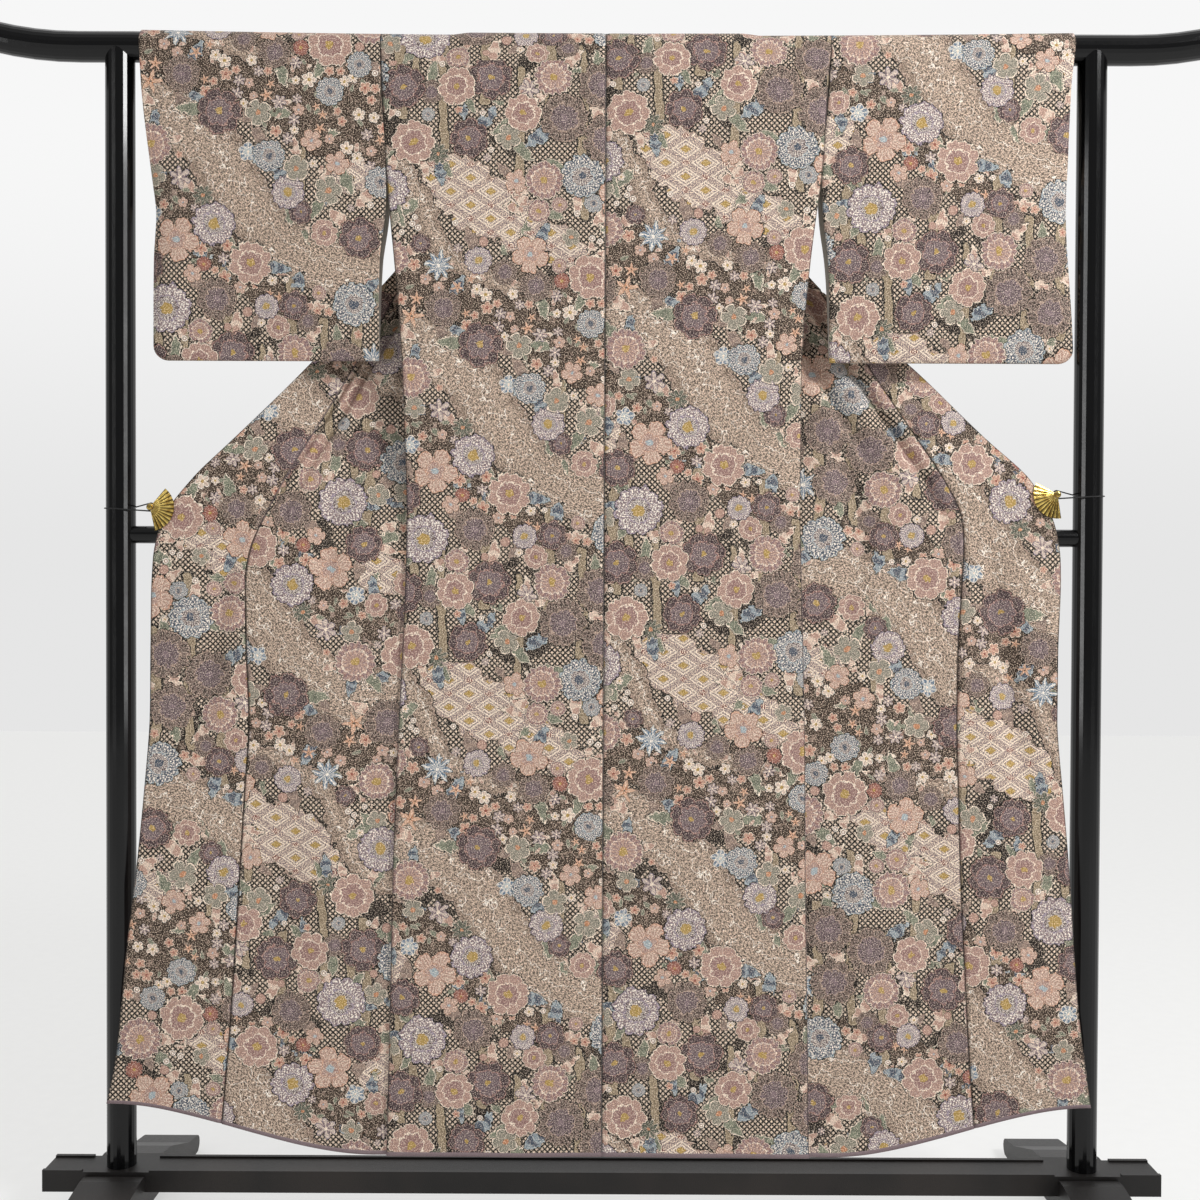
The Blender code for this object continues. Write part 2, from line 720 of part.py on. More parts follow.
def foot_outline():
    """Half of a foot's side view, from the middle out: sloping top, toe, pad and arch."""
    notch = BASE_DEPTH / 2 + TOUCH
    points = [(0.0, BASE_BOTTOM - TOUCH), (notch, BASE_BOTTOM - TOUCH), (notch, FOOT_TOP - 0.003)]
    points += [(notch + 0.003, FOOT_TOP), (notch + 0.020, FOOT_TOP)]
    slope_start, slope_end = notch + 0.020, FOOT_HALF_LENGTH - FOOT_TOE / 2
    for t in (0.25, 0.5, 0.75, 1.0):
        y = slope_start + (slope_end - slope_start) * t
        points.append((y, FOOT_TOP + (FOOT_TOE - FOOT_TOP) * smooth(t)))
    for angle in np.radians((60, 30, 0, -30)):
        points.append(
            (
                slope_end + FOOT_TOE / 2 * math.cos(angle),
                FOOT_TOE / 2 + FOOT_TOE / 2 * math.sin(angle),
            )
        )
    points += [(FOOT_HALF_LENGTH - 0.008, 0.0), (FOOT_HALF_LENGTH - FOOT_PAD, 0.0)]
    for t in (0.15, 0.4, 0.7, 1.0):
        y = (FOOT_HALF_LENGTH - FOOT_PAD) * (1 - t)
        points.append((y, FOOT_ARCH * smooth(t * 1.6)))
    return points


def foot(side, look):
    half = foot_outline()
    outline = half + [(-y, z) for y, z in half[-2:0:-1]]
    middle = SIDE_SIGN[side] * POST_X
    rings = [[(middle + s * FOOT_WIDTH / 2, y, z) for y, z in outline] for s in (-1, 1)]
    made = swept(f"foot_{side}", rings, look)
    return made


def fan_rows(clip, radius, depth, pleat):
    """The ribs of a fan round its pivot: rows run outwards, columns from rib to rib."""
    rows = []
    for r in np.linspace(FAN_INNER, radius, 4):
        row = []
        for k, share in enumerate(shares(2 * FAN_PLEATS)):
            angle = math.radians(clip.first_rib + (clip.last_rib - clip.first_rib) * share)
            out = pleat * (k % 2) * r / radius
            row.append((clip.x + r * math.cos(angle), depth - out, clip.z + r * math.sin(angle)))
        rows.append(row)
    return rows


def fan_clip(clip, brass, cord_look):
    """Fan, jaw, pin and the tied cord that holds the clip to its post."""
    side, x, z = clip.side, clip.x, clip.z
    front = CLIP_EDGE_DEPTH - WALL / 2 - SEAM_GAP - FAN_WALL / 2
    rear = CLIP_EDGE_DEPTH + COLLAR_OFFSET + WALL / 2 + SEAM_GAP + FAN_WALL / 2
    wall(f"clip_{side}_fan", fan_rows(clip, FAN_RADIUS, front, FAN_PLEAT_DEPTH), brass, FAN_WALL)
    wall(f"clip_{side}_jaw", fan_rows(clip, FAN_RADIUS * 0.8, rear, 0.0), brass, FAN_WALL)
    rings = []
    for y, radius in (
        (front - 0.0045, 0.0018),
        (front - 0.0035, PIN_BALL * 0.8),
        (front - 0.0015, PIN_BALL),
        (front + FAN_WALL / 2, PIN_RADIUS),
        (rear + FAN_WALL / 2 + 0.0004, PIN_RADIUS),
        (rear + FAN_WALL / 2 + 0.0004, 0.0018),
    ):
        rings.append([(x + a, y, z + b) for a, b in circle(radius, 16)])
    swept(f"clip_{side}_pin", rings, brass)
    cord(side, (x, (front + rear) / 2, z), cord_look)


def cord_route(side, pin):
    """A closed loop: round the pin's far half, then round the post."""
    sign = SIDE_SIGN[side]
    px, py, pz = pin
    post = (sign * POST_X, 0.0)
    reach = POST_RADIUS + CORD_RADIUS + TOUCH
    round_pin = PIN_RADIUS + CORD_RADIUS + TOUCH
    distance = math.hypot(post[0] - px, post[1] - py)
    towards = math.atan2(py - post[1], px - post[0])
    open_angle = math.acos(reach / distance)
    points = []
    for k in range(9):
        angle = math.pi * (0.5 + k / 8)
        points.append(
            (px + sign * round_pin * math.cos(angle), py, pz + round_pin * math.sin(angle))
        )
    first, second = towards + open_angle, towards - open_angle
    if math.sin(first) > math.sin(second):
        first, second = second, first
    turn = (second - first) % (2 * math.pi)
    if not passes_outside(first + turn / 2, sign):
        turn -= 2 * math.pi
    for k in range(15):
        angle = first + turn * k / 14
        height = pz - round_pin * 0.35 * (1 - 2 * k / 14)
        points.append((post[0] + reach * math.cos(angle), reach * math.sin(angle), height))
    return points


def passes_outside(angle, sign):
    return math.cos(angle) * sign > 0


def cord(side, pin, look):
    line = bpy.data.curves.new(f"cord_{side}", "CURVE")
    line.dimensions = "3D"
    line.bevel_depth = CORD_RADIUS
    line.bevel_resolution = 1
    route = cord_route(side, pin)
    spline = line.splines.new("POLY")
    spline.points.add(len(route) - 1)
    for point, place in zip(spline.points, route):
        point.co = (*place, 1.0)
    spline.use_cyclic_u = True
    line.materials.append(look)
    made = bpy.data.objects.new(f"cord_{side}", line)
    bpy.context.scene.collection.objects.link(made)


def build():
    for old in list(bpy.data.objects):
        bpy.data.objects.remove(old, do_unlink=True)
    silk = material("silk", (0.30, 0.25, 0.24), 0.62)
    collar_silk = material("collar silk", (0.28, 0.23, 0.22), 0.62)
    lacquer = material("black gloss", (0.008, 0.008, 0.010), 0.12)
    matt_black = material("black satin", (0.030, 0.030, 0.032), 0.42)
    brass = material("brass", (0.66, 0.48, 0.14), 0.28, 1.0)
    thread = material("black cord", (0.012, 0.012, 0.012), 0.75)
    for side in SIDE_SIGN:
        wall(f"body_{side}", body_rows(side), silk)
        wall(f"okumi_{side}", okumi_rows(side), silk)
        wall(f"sleeve_{side}", sleeve_rings(side), silk, ring=True)
    wall("collar", collar_rows(), collar_silk, mirrored=True)
    top_rail(lacquer)
    posts_and_crossbar(lacquer)
    base_bar(matt_black)
    for side in SIDE_SIGN:
        foot(side, matt_black)
    for clip in CLIPS:
        fan_clip(clip, brass, thread)


build()
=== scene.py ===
"""The looks of a lined kimono hung open on its stand: cloth shells with creases and seams,
a woven pattern of traditional flowers drawn in the material, a gloss stand and fan clips.

Metres in the part's own frame: +Z up, the viewer on -Y sees the kimono's back.
"""

import collections
import math
import random

import bpy
import numpy as np
from mathutils import Matrix, Vector


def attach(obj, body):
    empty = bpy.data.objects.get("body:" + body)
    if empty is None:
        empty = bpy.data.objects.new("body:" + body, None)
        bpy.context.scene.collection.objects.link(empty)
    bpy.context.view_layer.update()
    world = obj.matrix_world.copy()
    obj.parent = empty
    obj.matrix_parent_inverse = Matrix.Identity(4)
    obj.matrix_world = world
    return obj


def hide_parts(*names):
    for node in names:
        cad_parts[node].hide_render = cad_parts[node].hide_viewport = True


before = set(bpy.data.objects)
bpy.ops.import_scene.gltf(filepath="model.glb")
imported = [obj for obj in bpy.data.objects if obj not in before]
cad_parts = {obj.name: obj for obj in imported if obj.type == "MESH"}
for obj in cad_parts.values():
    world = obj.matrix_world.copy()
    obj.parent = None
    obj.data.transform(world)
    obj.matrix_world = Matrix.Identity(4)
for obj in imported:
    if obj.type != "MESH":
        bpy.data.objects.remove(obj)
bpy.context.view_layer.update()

SIDES = {"left": -1.0, "right": 1.0}

# Cloth
CLOTH = 0.0013
STEP = 0.0055
SEAM_GAP = 0.0003
FOLD_GAP = 0.0009
HEM_HEIGHT = 0.099
HEM_LIFT = 0.072
LIFT_TOP = 0.50
LIFT_START = 0.31
LIFT_SPAN = 0.37
NECK_HALF_WIDTH = 0.090
NECK_DROP = 0.060
ARCH_FOOT = 1.5641
COLLAR_WIDTH = 0.0545
COLLAR_END = 0.935
COLLAR_OFFSET = 0.0021
COLLAR_SLACK = 0.0036
COLLAR_LIFT_FULL = 0.185
COLLAR_LIFT_NONE = 0.215
TUCK_HEIGHT = 1.318
HEM_ROLL = 0.0016
OUTSIDE_SHARE, LINING_SHARE = 0.78, 0.19
TUCK_DEPTH = 0.0006
WRAP_STEPS = 12
TUCK_STEP, TUCK_LENGTH = 0.0016, 0.05
BACK_TOP = 1.604
NEAR_RAIL, NEAR_RAIL_SPAN = 1.45, 0.10
BODY_WIDTH = 0.30
OKUMI_WIDTH = 0.14
COLLAR_TOP = 1.5575
ARCH_STEPS = 55
NO_SEAM = 10.0

# Weave of the fronts: its place across at the side seam, where the front hangs straight and
# where it lies folded, and the heights between which it changes from one to the other
STRAIGHT_U, FOLDED_U = 0.307, 0.607
FOLD_TOP, FOLD_FOOT = 1.56, 1.20

# Stand
RAIL_RADIUS = 0.0205
RAIL_HEIGHT = 1.630
RAIL_SAG = 0.006
RAIL_BEND_START = 0.728
RAIL_BEND_RADIUS = 0.51
POST_RADIUS = 0.020
POST_X = 0.672
SAG_HALF_LENGTH = POST_X - POST_RADIUS
HALF_WALL = 0.0008
WRAP_RADIUS = RAIL_RADIUS + 0.0005 + HALF_WALL
OVER_COLLAR = 0.0029
COLLAR_RADIUS = RAIL_RADIUS + 0.0013 + HALF_WALL

# Sleeves
SLEEVE_BOTTOM = 1.198
CUFF_LOW = 1.405
CORNER_RADIUS = 0.020
SLEEVE_CLOSED = 0.0014
SLEEVE_SHAPE = 2.6
SLEEVE_DEPTH = 0.43
CORNER_STEPS = 7

# Outline of each side, in distances from the middle. Rows run from the shoulder to the hem.
OUTLINE_COLUMNS = ("height", "seam", "okumi", "edge")
OUTLINE = {
    "left": (
        (1.650, 0.3100, 0.0900, 0.0900),
        (1.570, 0.3065, 0.0900, 0.0900),
        (1.440, 0.2990, 0.2070, 0.2070),
        (1.380, 0.2940, 0.2590, 0.2620),
        (1.340, 0.2900, 0.2790, 0.2960),
        (1.190, 0.2780, 0.3560, 0.4220),
        (1.090, 0.2740, 0.4090, 0.5120),
        (1.040, 0.2720, 0.4360, 0.5580),
        (0.990, 0.2710, 0.4620, 0.5980),
        (0.940, 0.2710, 0.4840, 0.6160),
        (0.900, 0.2720, 0.4920, 0.6200),
        (0.800, 0.2760, 0.4910, 0.6220),
        (0.700, 0.2810, 0.4870, 0.6230),
        (0.600, 0.2850, 0.4930, 0.6310),
        (0.500, 0.2885, 0.4990, 0.6410),
        (0.350, 0.2915, 0.5070, 0.6560),
        (0.250, 0.2935, 0.5130, 0.6640),
        (0.170, 0.2955, 0.5190, 0.6710),
        (0.099, 0.2970, 0.5240, 0.6830),
    ),
    "right": (
        (1.650, 0.3100, 0.0900, 0.0900),
        (1.570, 0.3040, 0.0900, 0.0900),
        (1.440, 0.2950, 0.2000, 0.2000),
        (1.380, 0.2870, 0.2490, 0.2490),
        (1.310, 0.2790, 0.3040, 0.3080),
        (1.190, 0.2700, 0.3750, 0.4380),
        (1.090, 0.2695, 0.4340, 0.5300),
        (1.040, 0.2690, 0.4630, 0.5790),
        (0.990, 0.2690, 0.4880, 0.6110),
        (0.940, 0.2700, 0.4930, 0.6240),
        (0.900, 0.2710, 0.4910, 0.6260),
        (0.800, 0.2740, 0.4860, 0.6230),
        (0.700, 0.2765, 0.4855, 0.6230),
        (0.600, 0.2780, 0.4885, 0.6320),
        (0.500, 0.2790, 0.4920, 0.6410),
        (0.350, 0.2815, 0.4990, 0.6500),
        (0.250, 0.2835, 0.5040, 0.6570),
        (0.170, 0.2845, 0.5090, 0.6660),
        (0.099, 0.2860, 0.5140, 0.6740),
    ),
}
OKUMI_TIP = {"left": 1.380, "right": 1.310}

# The fold behind the armpit: how far it reaches in, its radius, and the depths (y) of the
# front's side edge and of its free edge.
FOLD_COLUMNS = ("height", "extra", "radius", "side_depth", "edge_depth")
FOLD = (
    (1.650, 0.000, 0.0012, 0.0218, 0.0218),
    (1.570, 0.000, 0.0012, 0.0218, 0.0225),
    (1.545, 0.000, 0.0032, 0.0216, 0.0275),
    (1.500, 0.006, 0.0110, 0.0212, 0.0430),
    (1.450, 0.018, 0.0170, 0.0208, 0.0550),
    (1.390, 0.050, 0.0215, 0.0170, 0.0600),
    (1.340, 0.085, 0.0235, 0.0110, 0.0580),
    (1.240, 0.055, 0.0235, -0.0080, 0.0390),
    (1.160, 0.035, 0.0195, -0.0215, 0.0170),
    (1.070, 0.012, 0.0130, -0.0215, -0.0150),
    (1.035, 0.008, 0.0095, -0.0215, -0.0270),
    (1.000, 0.004, 0.0060, -0.0215, -0.0270),
    (0.930, 0.000, 0.0014, -0.0215, -0.0270),
    (0.099, 0.000, 0.0014, -0.0215, -0.0270),
)
ARMPIT = 1.180
BACK_COLUMNS = ("height", "depth")
BACK = (
    (1.630, -0.0218),
    (1.440, -0.0215),
    (1.200, -0.0240),
    (1.000, -0.0250),
    (0.850, -0.0260),
    (0.099, -0.0265),
)
SLEEVE_COLUMNS = ("height", "inner", "outer")
SLEEVE = {
    "left": (
        (1.660, 0.3108, 0.6400),
        (1.570, 0.3078, 0.6360),
        (1.440, 0.3003, 0.6240),
        (1.400, 0.3020, 0.6210),
        (1.340, 0.3100, 0.6245),
        (1.198, 0.3130, 0.6255),
    ),
    "right": (
        (1.660, 0.3108, 0.6450),
        (1.570, 0.3056, 0.6360),
        (1.440, 0.2968, 0.6345),
        (1.400, 0.2985, 0.6350),
        (1.340, 0.3060, 0.6370),
        (1.198, 0.3110, 0.6490),
    ),
}

# Creases of the opened fronts: place across from side seam (0) over the okumi seam (1) to the
# free edge (2), the heights between which they fade, lean across per metre, width and depth.
Crease = collections.namedtuple("Crease", "side across low high lean width depth")
CREASES = (
    Crease("left", 0.975, 0.93, 1.52, 0.00, 0.013, 0.0140),
    Crease("left", 0.895, 0.93, 1.52, 0.06, 0.017, 0.0150),
    Crease("left", 0.72, 0.98, 1.44, 0.25, 0.045, -0.0065),
    Crease("left", 0.55, 0.80, 1.14, 0.80, 0.050, 0.0060),
    Crease("left", 1.35, 0.62, 0.99, -1.30, 0.090, 0.0095),
    Crease("left", 1.70, 0.74, 0.98, -1.10, 0.070, -0.0040),
    Crease("left", 1.55, 0.30, 0.70, 0.35, 0.160, -0.0035),
    Crease("left", 0.45, 0.20, 0.85, 0.15, 0.130, -0.0045),
    Crease("left", 0.75, 0.08, 0.60, 0.05, 0.100, 0.0035),
    Crease("right", 0.90, 0.95, 1.42, 0.05, 0.024, 0.0150),
    Crease("right", 0.80, 1.00, 1.38, 0.20, 0.040, -0.0060),
    Crease("right", 0.68, 1.02, 1.36, 0.30, 0.026, 0.0080),
    Crease("right", 0.42, 0.82, 1.14, 0.90, 0.050, 0.0060),
    Crease("right", 1.45, 0.60, 0.98, -1.20, 0.085, 0.0095),
    Crease("right", 1.60, 0.52, 0.90, -0.60, 0.080, 0.0030),
    Crease("right", 1.45, 0.16, 0.56, 0.30, 0.150, -0.0030),
    Crease("right", 0.40, 0.14, 0.80, 0.10, 0.120, -0.0040),
    Crease("right", 0.78, 0.08, 0.62, 0.05, 0.100, 0.0030),
)
# Soft waves of the hanging back and sleeves: direction across and down in waves per metre
Wave = collections.namedtuple("Wave", "across down phase depth")
WAVES = (
    Wave(2.3, 0.35, 0.7, 0.0011),
    Wave(4.9, -0.55, 2.1, 0.0006),
    Wave(8.7, 1.10, 4.0, 0.00028),
    Wave(1.2, 3.40, 1.3, 0.00035),
)


def smooth(value):
    value = min(max(value, 0.0), 1.0)
    return value * value * (3 - 2 * value)


def read(rows, columns, column, height):
    """The column's value at a height, on a smooth curve through the table's rows."""
    at = columns.index(column)
    heights = np.array([row[0] for row in rows][::-1])
    values = np.array([row[at] for row in rows][::-1])
    slopes = np.gradient(values, heights)
    height = min(max(height, heights[0]), heights[-1])
    k = min(int(np.searchsorted(heights, height, side="right")) - 1, len(heights) - 2)
    step = heights[k + 1] - heights[k]
    t = (height - heights[k]) / step
    secant = (values[k + 1] - values[k]) / step
    low, high = (min(max(s, min(0, 3 * secant)), max(0, 3 * secant)) for s in slopes[k:k + 2])
    return float(
        (2 * t**3 - 3 * t**2 + 1) * values[k]
        + (t**3 - 2 * t**2 + t) * step * low
        + (3 * t**2 - 2 * t**3) * values[k + 1]
        + (t**3 - t**2) * step * high
    )


def rail_height(x):
    """Height of the rail's axis: it sags between the posts and its ends curve up."""
    if abs(x) < SAG_HALF_LENGTH:
        return RAIL_HEIGHT - RAIL_SAG * (1 - (x / SAG_HALF_LENGTH) ** 2)
    past = max(0.0, abs(x) - RAIL_BEND_START)
    return RAIL_HEIGHT + RAIL_BEND_RADIUS - math.sqrt(RAIL_BEND_RADIUS**2 - past**2)


def over_collar(x):
    """How far the body's cloth stands off the rail where the folded-in collar lies below it."""
    span = COLLAR_LIFT_NONE - COLLAR_LIFT_FULL
    return OVER_COLLAR * (1 - smooth((abs(x) - COLLAR_LIFT_FULL) / span))


def far_side(x, h, radius):
    """A point h above the rail's axis on the far side; above it, h runs on over the rail."""
    if h <= 0:
        return (x, radius, rail_height(x) + h)
    angle = h / radius
    return (x, radius * math.cos(angle), rail_height(x) + radius * math.sin(angle))


def hem_lift(distance, height):
    """The fronts are pulled up towards their outer corners, most of all at the hem."""
    near_hem = (LIFT_TOP - height) / (LIFT_TOP - HEM_HEIGHT)
    return HEM_LIFT * smooth((distance - LIFT_START) / LIFT_SPAN) * min(max(near_hem, 0), 1)


def crease_depth(side, across, height):
    depth = 0.0
    for crease in CREASES:
        if crease.side != side or not crease.low < height < crease.high:
            continue
        middle = crease.across + crease.lean * (height - (crease.low + crease.high) / 2)
        wave = math.exp(-(((across - middle) / crease.width) ** 2) / 2)
        fade = math.sin(math.pi * (height - crease.low) / (crease.high - crease.low))
        depth += crease.depth * wave * fade
    return depth


def waves(x, z):
    """Small uneven swells of hanging cloth, none at the rail."""
    loose = smooth((RAIL_HEIGHT - 0.02 - z) / 0.25)
    total = 0.0
    for wave in WAVES:
        total += wave.depth * math.sin(2 * math.pi * (wave.across * x + wave.down * z) + wave.phase)
    return loose * total


class Section:
    """A level cut through one opened front, measured along the cloth from its side edge."""

    def __init__(self, side, height):
        self.side, self.height = side, height
        self.sign = SIDES[side]
        rows = OUTLINE[side]
        self.seam = read(rows, OUTLINE_COLUMNS, "seam", height)
        self.edge = read(rows, OUTLINE_COLUMNS, "edge", height)
        okumi = read(rows, OUTLINE_COLUMNS, "okumi", height)
        self.okumi_width = self.edge - okumi if height <= OKUMI_TIP[side] + 1e-6 else 0.0
        self.extra = read(FOLD, FOLD_COLUMNS, "extra", height)
        self.radius = read(FOLD, FOLD_COLUMNS, "radius", height)
        self.side_depth = read(FOLD, FOLD_COLUMNS, "side_depth", height)
        self.edge_depth = read(FOLD, FOLD_COLUMNS, "edge_depth", height)
        if height < ARMPIT:
            self.side_depth = back_depth(height) + CLOTH + FOLD_GAP
        self.inward = max(0.0, self.seam - self.edge) + self.extra
        self.outward = max(0.0, self.edge - self.seam) + self.extra
        self.length = self.inward + math.pi * self.radius + self.outward
        self.front_length = self.length - self.okumi_width

    def flat_point(self, s):
        """(distance from the middle, depth) at s along the cloth, before the creases."""
        lift = smooth((self.height - NEAR_RAIL) / NEAR_RAIL_SPAN)
        if s <= self.inward:
            x = self.seam - s
            return x, self.side_depth + over_collar(x) * lift
        bend = (s - self.inward) / self.radius
        start = over_collar(self.seam - self.inward) * lift
        if bend < math.pi:
            return (
                self.seam - self.inward - self.radius * math.sin(bend),
                self.side_depth + start + self.radius * (1 - math.cos(bend)),
            )
        gone = s - self.inward - math.pi * self.radius
        begin = self.side_depth + start + 2 * self.radius
        flush = 0.8 - 0.45 * smooth((1.0 - self.height) / 0.12)
        share = smooth(gone / max(self.outward, 1e-6) / flush)
        return self.seam - self.inward + gone, begin + (self.edge_depth - begin) * share

    def across(self, s):
        """0 at the side seam, 1 at the okumi seam, 2 at the free edge."""
        if s <= self.front_length or self.okumi_width <= 0:
            return s / self.front_length
        return 1 + (s - self.front_length) / self.okumi_width

    def woven(self, s):
        """Place across the woven cloth: the front is turned over at the side, so it runs back."""
        return FOLDED_U - (s + self.seam - 2 * self.inward - math.pi * self.radius)

    def point(self, s, behind=0.0):
        """The cloth's middle layer at s, or a layer that far behind it, on the lining's side."""
        distance, depth = self.flat_point(s)
        depth += crease_depth(self.side, self.across(s), self.height)
        if self.height < 1.0:
            depth += waves(self.sign * distance, self.height) * smooth((1.0 - self.height) / 0.1)
        if behind:
            step = 1e-4
            x0, y0 = self.flat_point(max(s - step, 0))
            x1, y1 = self.flat_point(min(s + step, self.length))
            size = math.hypot(x1 - x0, y1 - y0)
            distance -= behind * (y1 - y0) / size
            depth += behind * (x1 - x0) / size
        height = self.height + hem_lift(distance, self.height)
        return (self.sign * distance, depth, height)


def back_depth(height):
    return read(BACK, BACK_COLUMNS, "depth", height)


def neck_half_width(drop):
    """Half width of the neck opening, a half ellipse that opens downwards."""
    return NECK_HALF_WIDTH * math.sqrt(max(0.0, 1 - (1 - drop / NECK_DROP) ** 2)) + SEAM_GAP / 2


def levels(high, low):
    """Heights from high down to low, one cloth step apart."""
    count = round((high - low) / STEP)
    return np.linspace(high, low, count + 1).tolist()


class Panel:
    """A grid of points of one cloth piece with its place in the woven cloth, in metres.

    The weave runs across in u, always from the viewer's left to right on the back, and down
    in v. One bolt of cloth repeats every REPEAT metres down its length.
    """

    def __init__(self, name, points, u, v, outward, ring=False):
        self.name = name
        self.points = np.array(points, float)
        self.u, self.v = np.array(u, float), np.array(v, float)
        self.outward, self.ring = outward, ring

    def normals(self):
        grid = self.points
        if self.ring:
            padded = np.concatenate([grid[:, -1:], grid, grid[:, :1]], axis=1)
            across = padded[:, 2:] - padded[:, :-2]
        else:
            across = np.gradient(grid, axis=1)
        normal = np.cross(np.gradient(grid, axis=0), across)
        return self.outward * normal / np.linalg.norm(normal, axis=2, keepdims=True)

    def from_seams(self):
        """Distance of each point from the piece's long edges, where the seams are, in mm."""
        if self.ring:
            return np.full(self.u.shape, NO_SEAM)
        steps = np.linalg.norm(np.diff(self.points, axis=1), axis=2)
        run = np.concatenate([np.zeros((len(steps), 1)), np.cumsum(steps, axis=1)], axis=1)
        return 1000 * np.minimum(run, run[:, -1:] - run)


def cumulative(points):
    """Distance run along each column of a grid."""
    steps = np.linalg.norm(np.diff(points, axis=0), axis=2)
    return np.concatenate([np.zeros((1, points.shape[1])), np.cumsum(steps, axis=0)])


def seam_dip(distance_from_seam, depth=0.0011, width=0.0035):
    """How far cloth sinks in beside a seam."""
    return depth * math.exp(-((distance_from_seam / width) ** 2))


def body_panel(side):
    """Back from the hem up, over the rail, and the front down to the hem again."""
    sign = SIDES[side]
    outline = OUTLINE[side]
    share = np.linspace(0, 1, round(BODY_WIDTH / STEP) + 1)
    rows, u, v = [], [], []

    def add(row, across, down):
        rows.append(row)
        u.append([sign * place for place in across])
        v.append(down)

    for height in levels(BACK_TOP, HEM_HEIGHT)[::-1]:
        seam = read(outline, OUTLINE_COLUMNS, "seam", height)
        near_rail = smooth((height - NEAR_RAIL) / NEAR_RAIL_SPAN)
        below = TUCK_HEIGHT - height
        tuck = TUCK_DEPTH * smooth(below / TUCK_STEP) * smooth((TUCK_LENGTH - below) / TUCK_LENGTH)
        row = []
        for c in share:
            x = seam + (SEAM_GAP / 2 - seam) * c
            y = back_depth(height) - over_collar(x) * near_rail + waves(sign * x, height)
            y += seam_dip(x) + seam_dip(seam - x, 0.0006) + tuck
            row.append((sign * x, y, height))
        add(row, seam + (SEAM_GAP / 2 - seam) * share, [RAIL_HEIGHT - height] * len(share))
    seam = read(outline, OUTLINE_COLUMNS, "seam", RAIL_HEIGHT)
    reach = math.pi * (WRAP_RADIUS + OVER_COLLAR / 2)
    for k in range(WRAP_STEPS + 1):
        angle = math.pi * (1 - k / WRAP_STEPS)
        row = []
        for c in share:
            x = seam + (SEAM_GAP / 2 - seam) * c
            radius = WRAP_RADIUS + over_collar(x) - seam_dip(x, 0.0008)
            row.append(far_side(sign * x, angle * radius, radius))
        down = [-reach * k / WRAP_STEPS] * len(share)
        add(row, seam + (SEAM_GAP / 2 - seam) * share, down)
    neck_top = rail_height(0.05)
    for height in levels(neck_top - 0.001, ARCH_FOOT):
        drop = min(neck_top - height, NECK_DROP)
        inner = neck_half_width(drop)
        seam = read(outline, OUTLINE_COLUMNS, "seam", height)
        row = []
        for c in share:
            x = seam + (inner - seam) * c
            row.append(far_side(sign * x, -drop, WRAP_RADIUS + over_collar(x)))
        add(row, seam + (inner - seam) * share, [-reach - drop] * len(share))
    for height in levels(ARCH_FOOT - 0.006, HEM_HEIGHT):
        section = Section(side, height)
        end = section.front_length - (SEAM_GAP / 2 if section.okumi_width else 0)
        row = [section.point(end * c) for c in share]
        folded = smooth((FOLD_TOP - height) / (FOLD_TOP - FOLD_FOOT))
        straight = [STRAIGHT_U - end * c for c in share]
        turned = [section.woven(end * c) for c in share]
        across = [a + folded * (b - a) for a, b in zip(straight, turned)]
        add(row, across, [-reach - (RAIL_HEIGHT - z) for _, _, z in row])
    return Panel(f"body_{side}", rows, u, v, sign)


def okumi_panel(side):
    sign = SIDES[side]
    share = np.linspace(0, 1, round(OKUMI_WIDTH / STEP) + 1)
    rows, u, v = [], [], []
    for height in levels(OKUMI_TIP[side] - 0.004, HEM_HEIGHT):
        section = Section(side, height)
        start = section.front_length + SEAM_GAP / 2
        row = []
        for c in share:
            s = start + (section.length - start) * c
            x, y, z = section.point(s)
            row.append((x, y + seam_dip(s - start, 0.0013, 0.003), z))
        rows.append(row)
        u.append([sign * section.woven(start + (section.length - start) * c) for c in share])
        v.append([z - RAIL_HEIGHT for _, _, z in row])
    return Panel(f"okumi_{side}", rows, u, v, sign)


def collar_panel():
    """The collar, folded in: down the left front, round the neck and down the right front."""
    share = np.linspace(0, 1, round(COLLAR_WIDTH / STEP) + 1)
    rows = []
    for side in SIDES:
        part = []
        for height in levels(COLLAR_TOP, COLLAR_END)[::-1]:
            section = Section(side, height)
            below, above = Section(side, height - 0.01), Section(side, height + 0.01)
            slant = math.atan2(0.02, abs(below.edge - above.edge))
            width = COLLAR_WIDTH / math.sin(slant)
            slack = COLLAR_SLACK * smooth((height - 1.0) / 0.1)
            at_edge = smooth((height - 1.40) / 0.09)
            row = []
            for c in share:
                s = section.length - HALF_WALL - width * c
                away = max(at_edge, smooth(width * c / 0.007))
                row.append(section.point(s, behind=COLLAR_OFFSET + slack * away))
            part.append(row)
        if side == "right":
            rows += arch_rows(share)
            part = part[::-1]
        rows += part
    points = np.array(rows)
    run = cumulative(points)
    u = np.tile(0.5 - share * COLLAR_WIDTH, (len(rows), 1))
    return Panel("collar", points, u, run, 1.0)


def arch_rows(share):
    """The collar round the neck opening, where it lies between the rail and the back."""
    rows = []
    for turn in np.linspace(-math.pi / 2, math.pi / 2, ARCH_STEPS + 1):
        edge_x, edge_h = NECK_HALF_WIDTH * math.sin(turn), -NECK_DROP * (1 - math.cos(turn))
        out_x, out_h = math.sin(turn) / NECK_HALF_WIDTH, math.cos(turn) / NECK_DROP
        size = math.hypot(out_x, out_h)
        rows.append(
            [
                far_side(
                    edge_x + COLLAR_WIDTH * c * out_x / size,
                    edge_h + COLLAR_WIDTH * c * out_h / size - HALF_WALL,
                    COLLAR_RADIUS,
                )
                for c in share
            ]
        )
    return rows


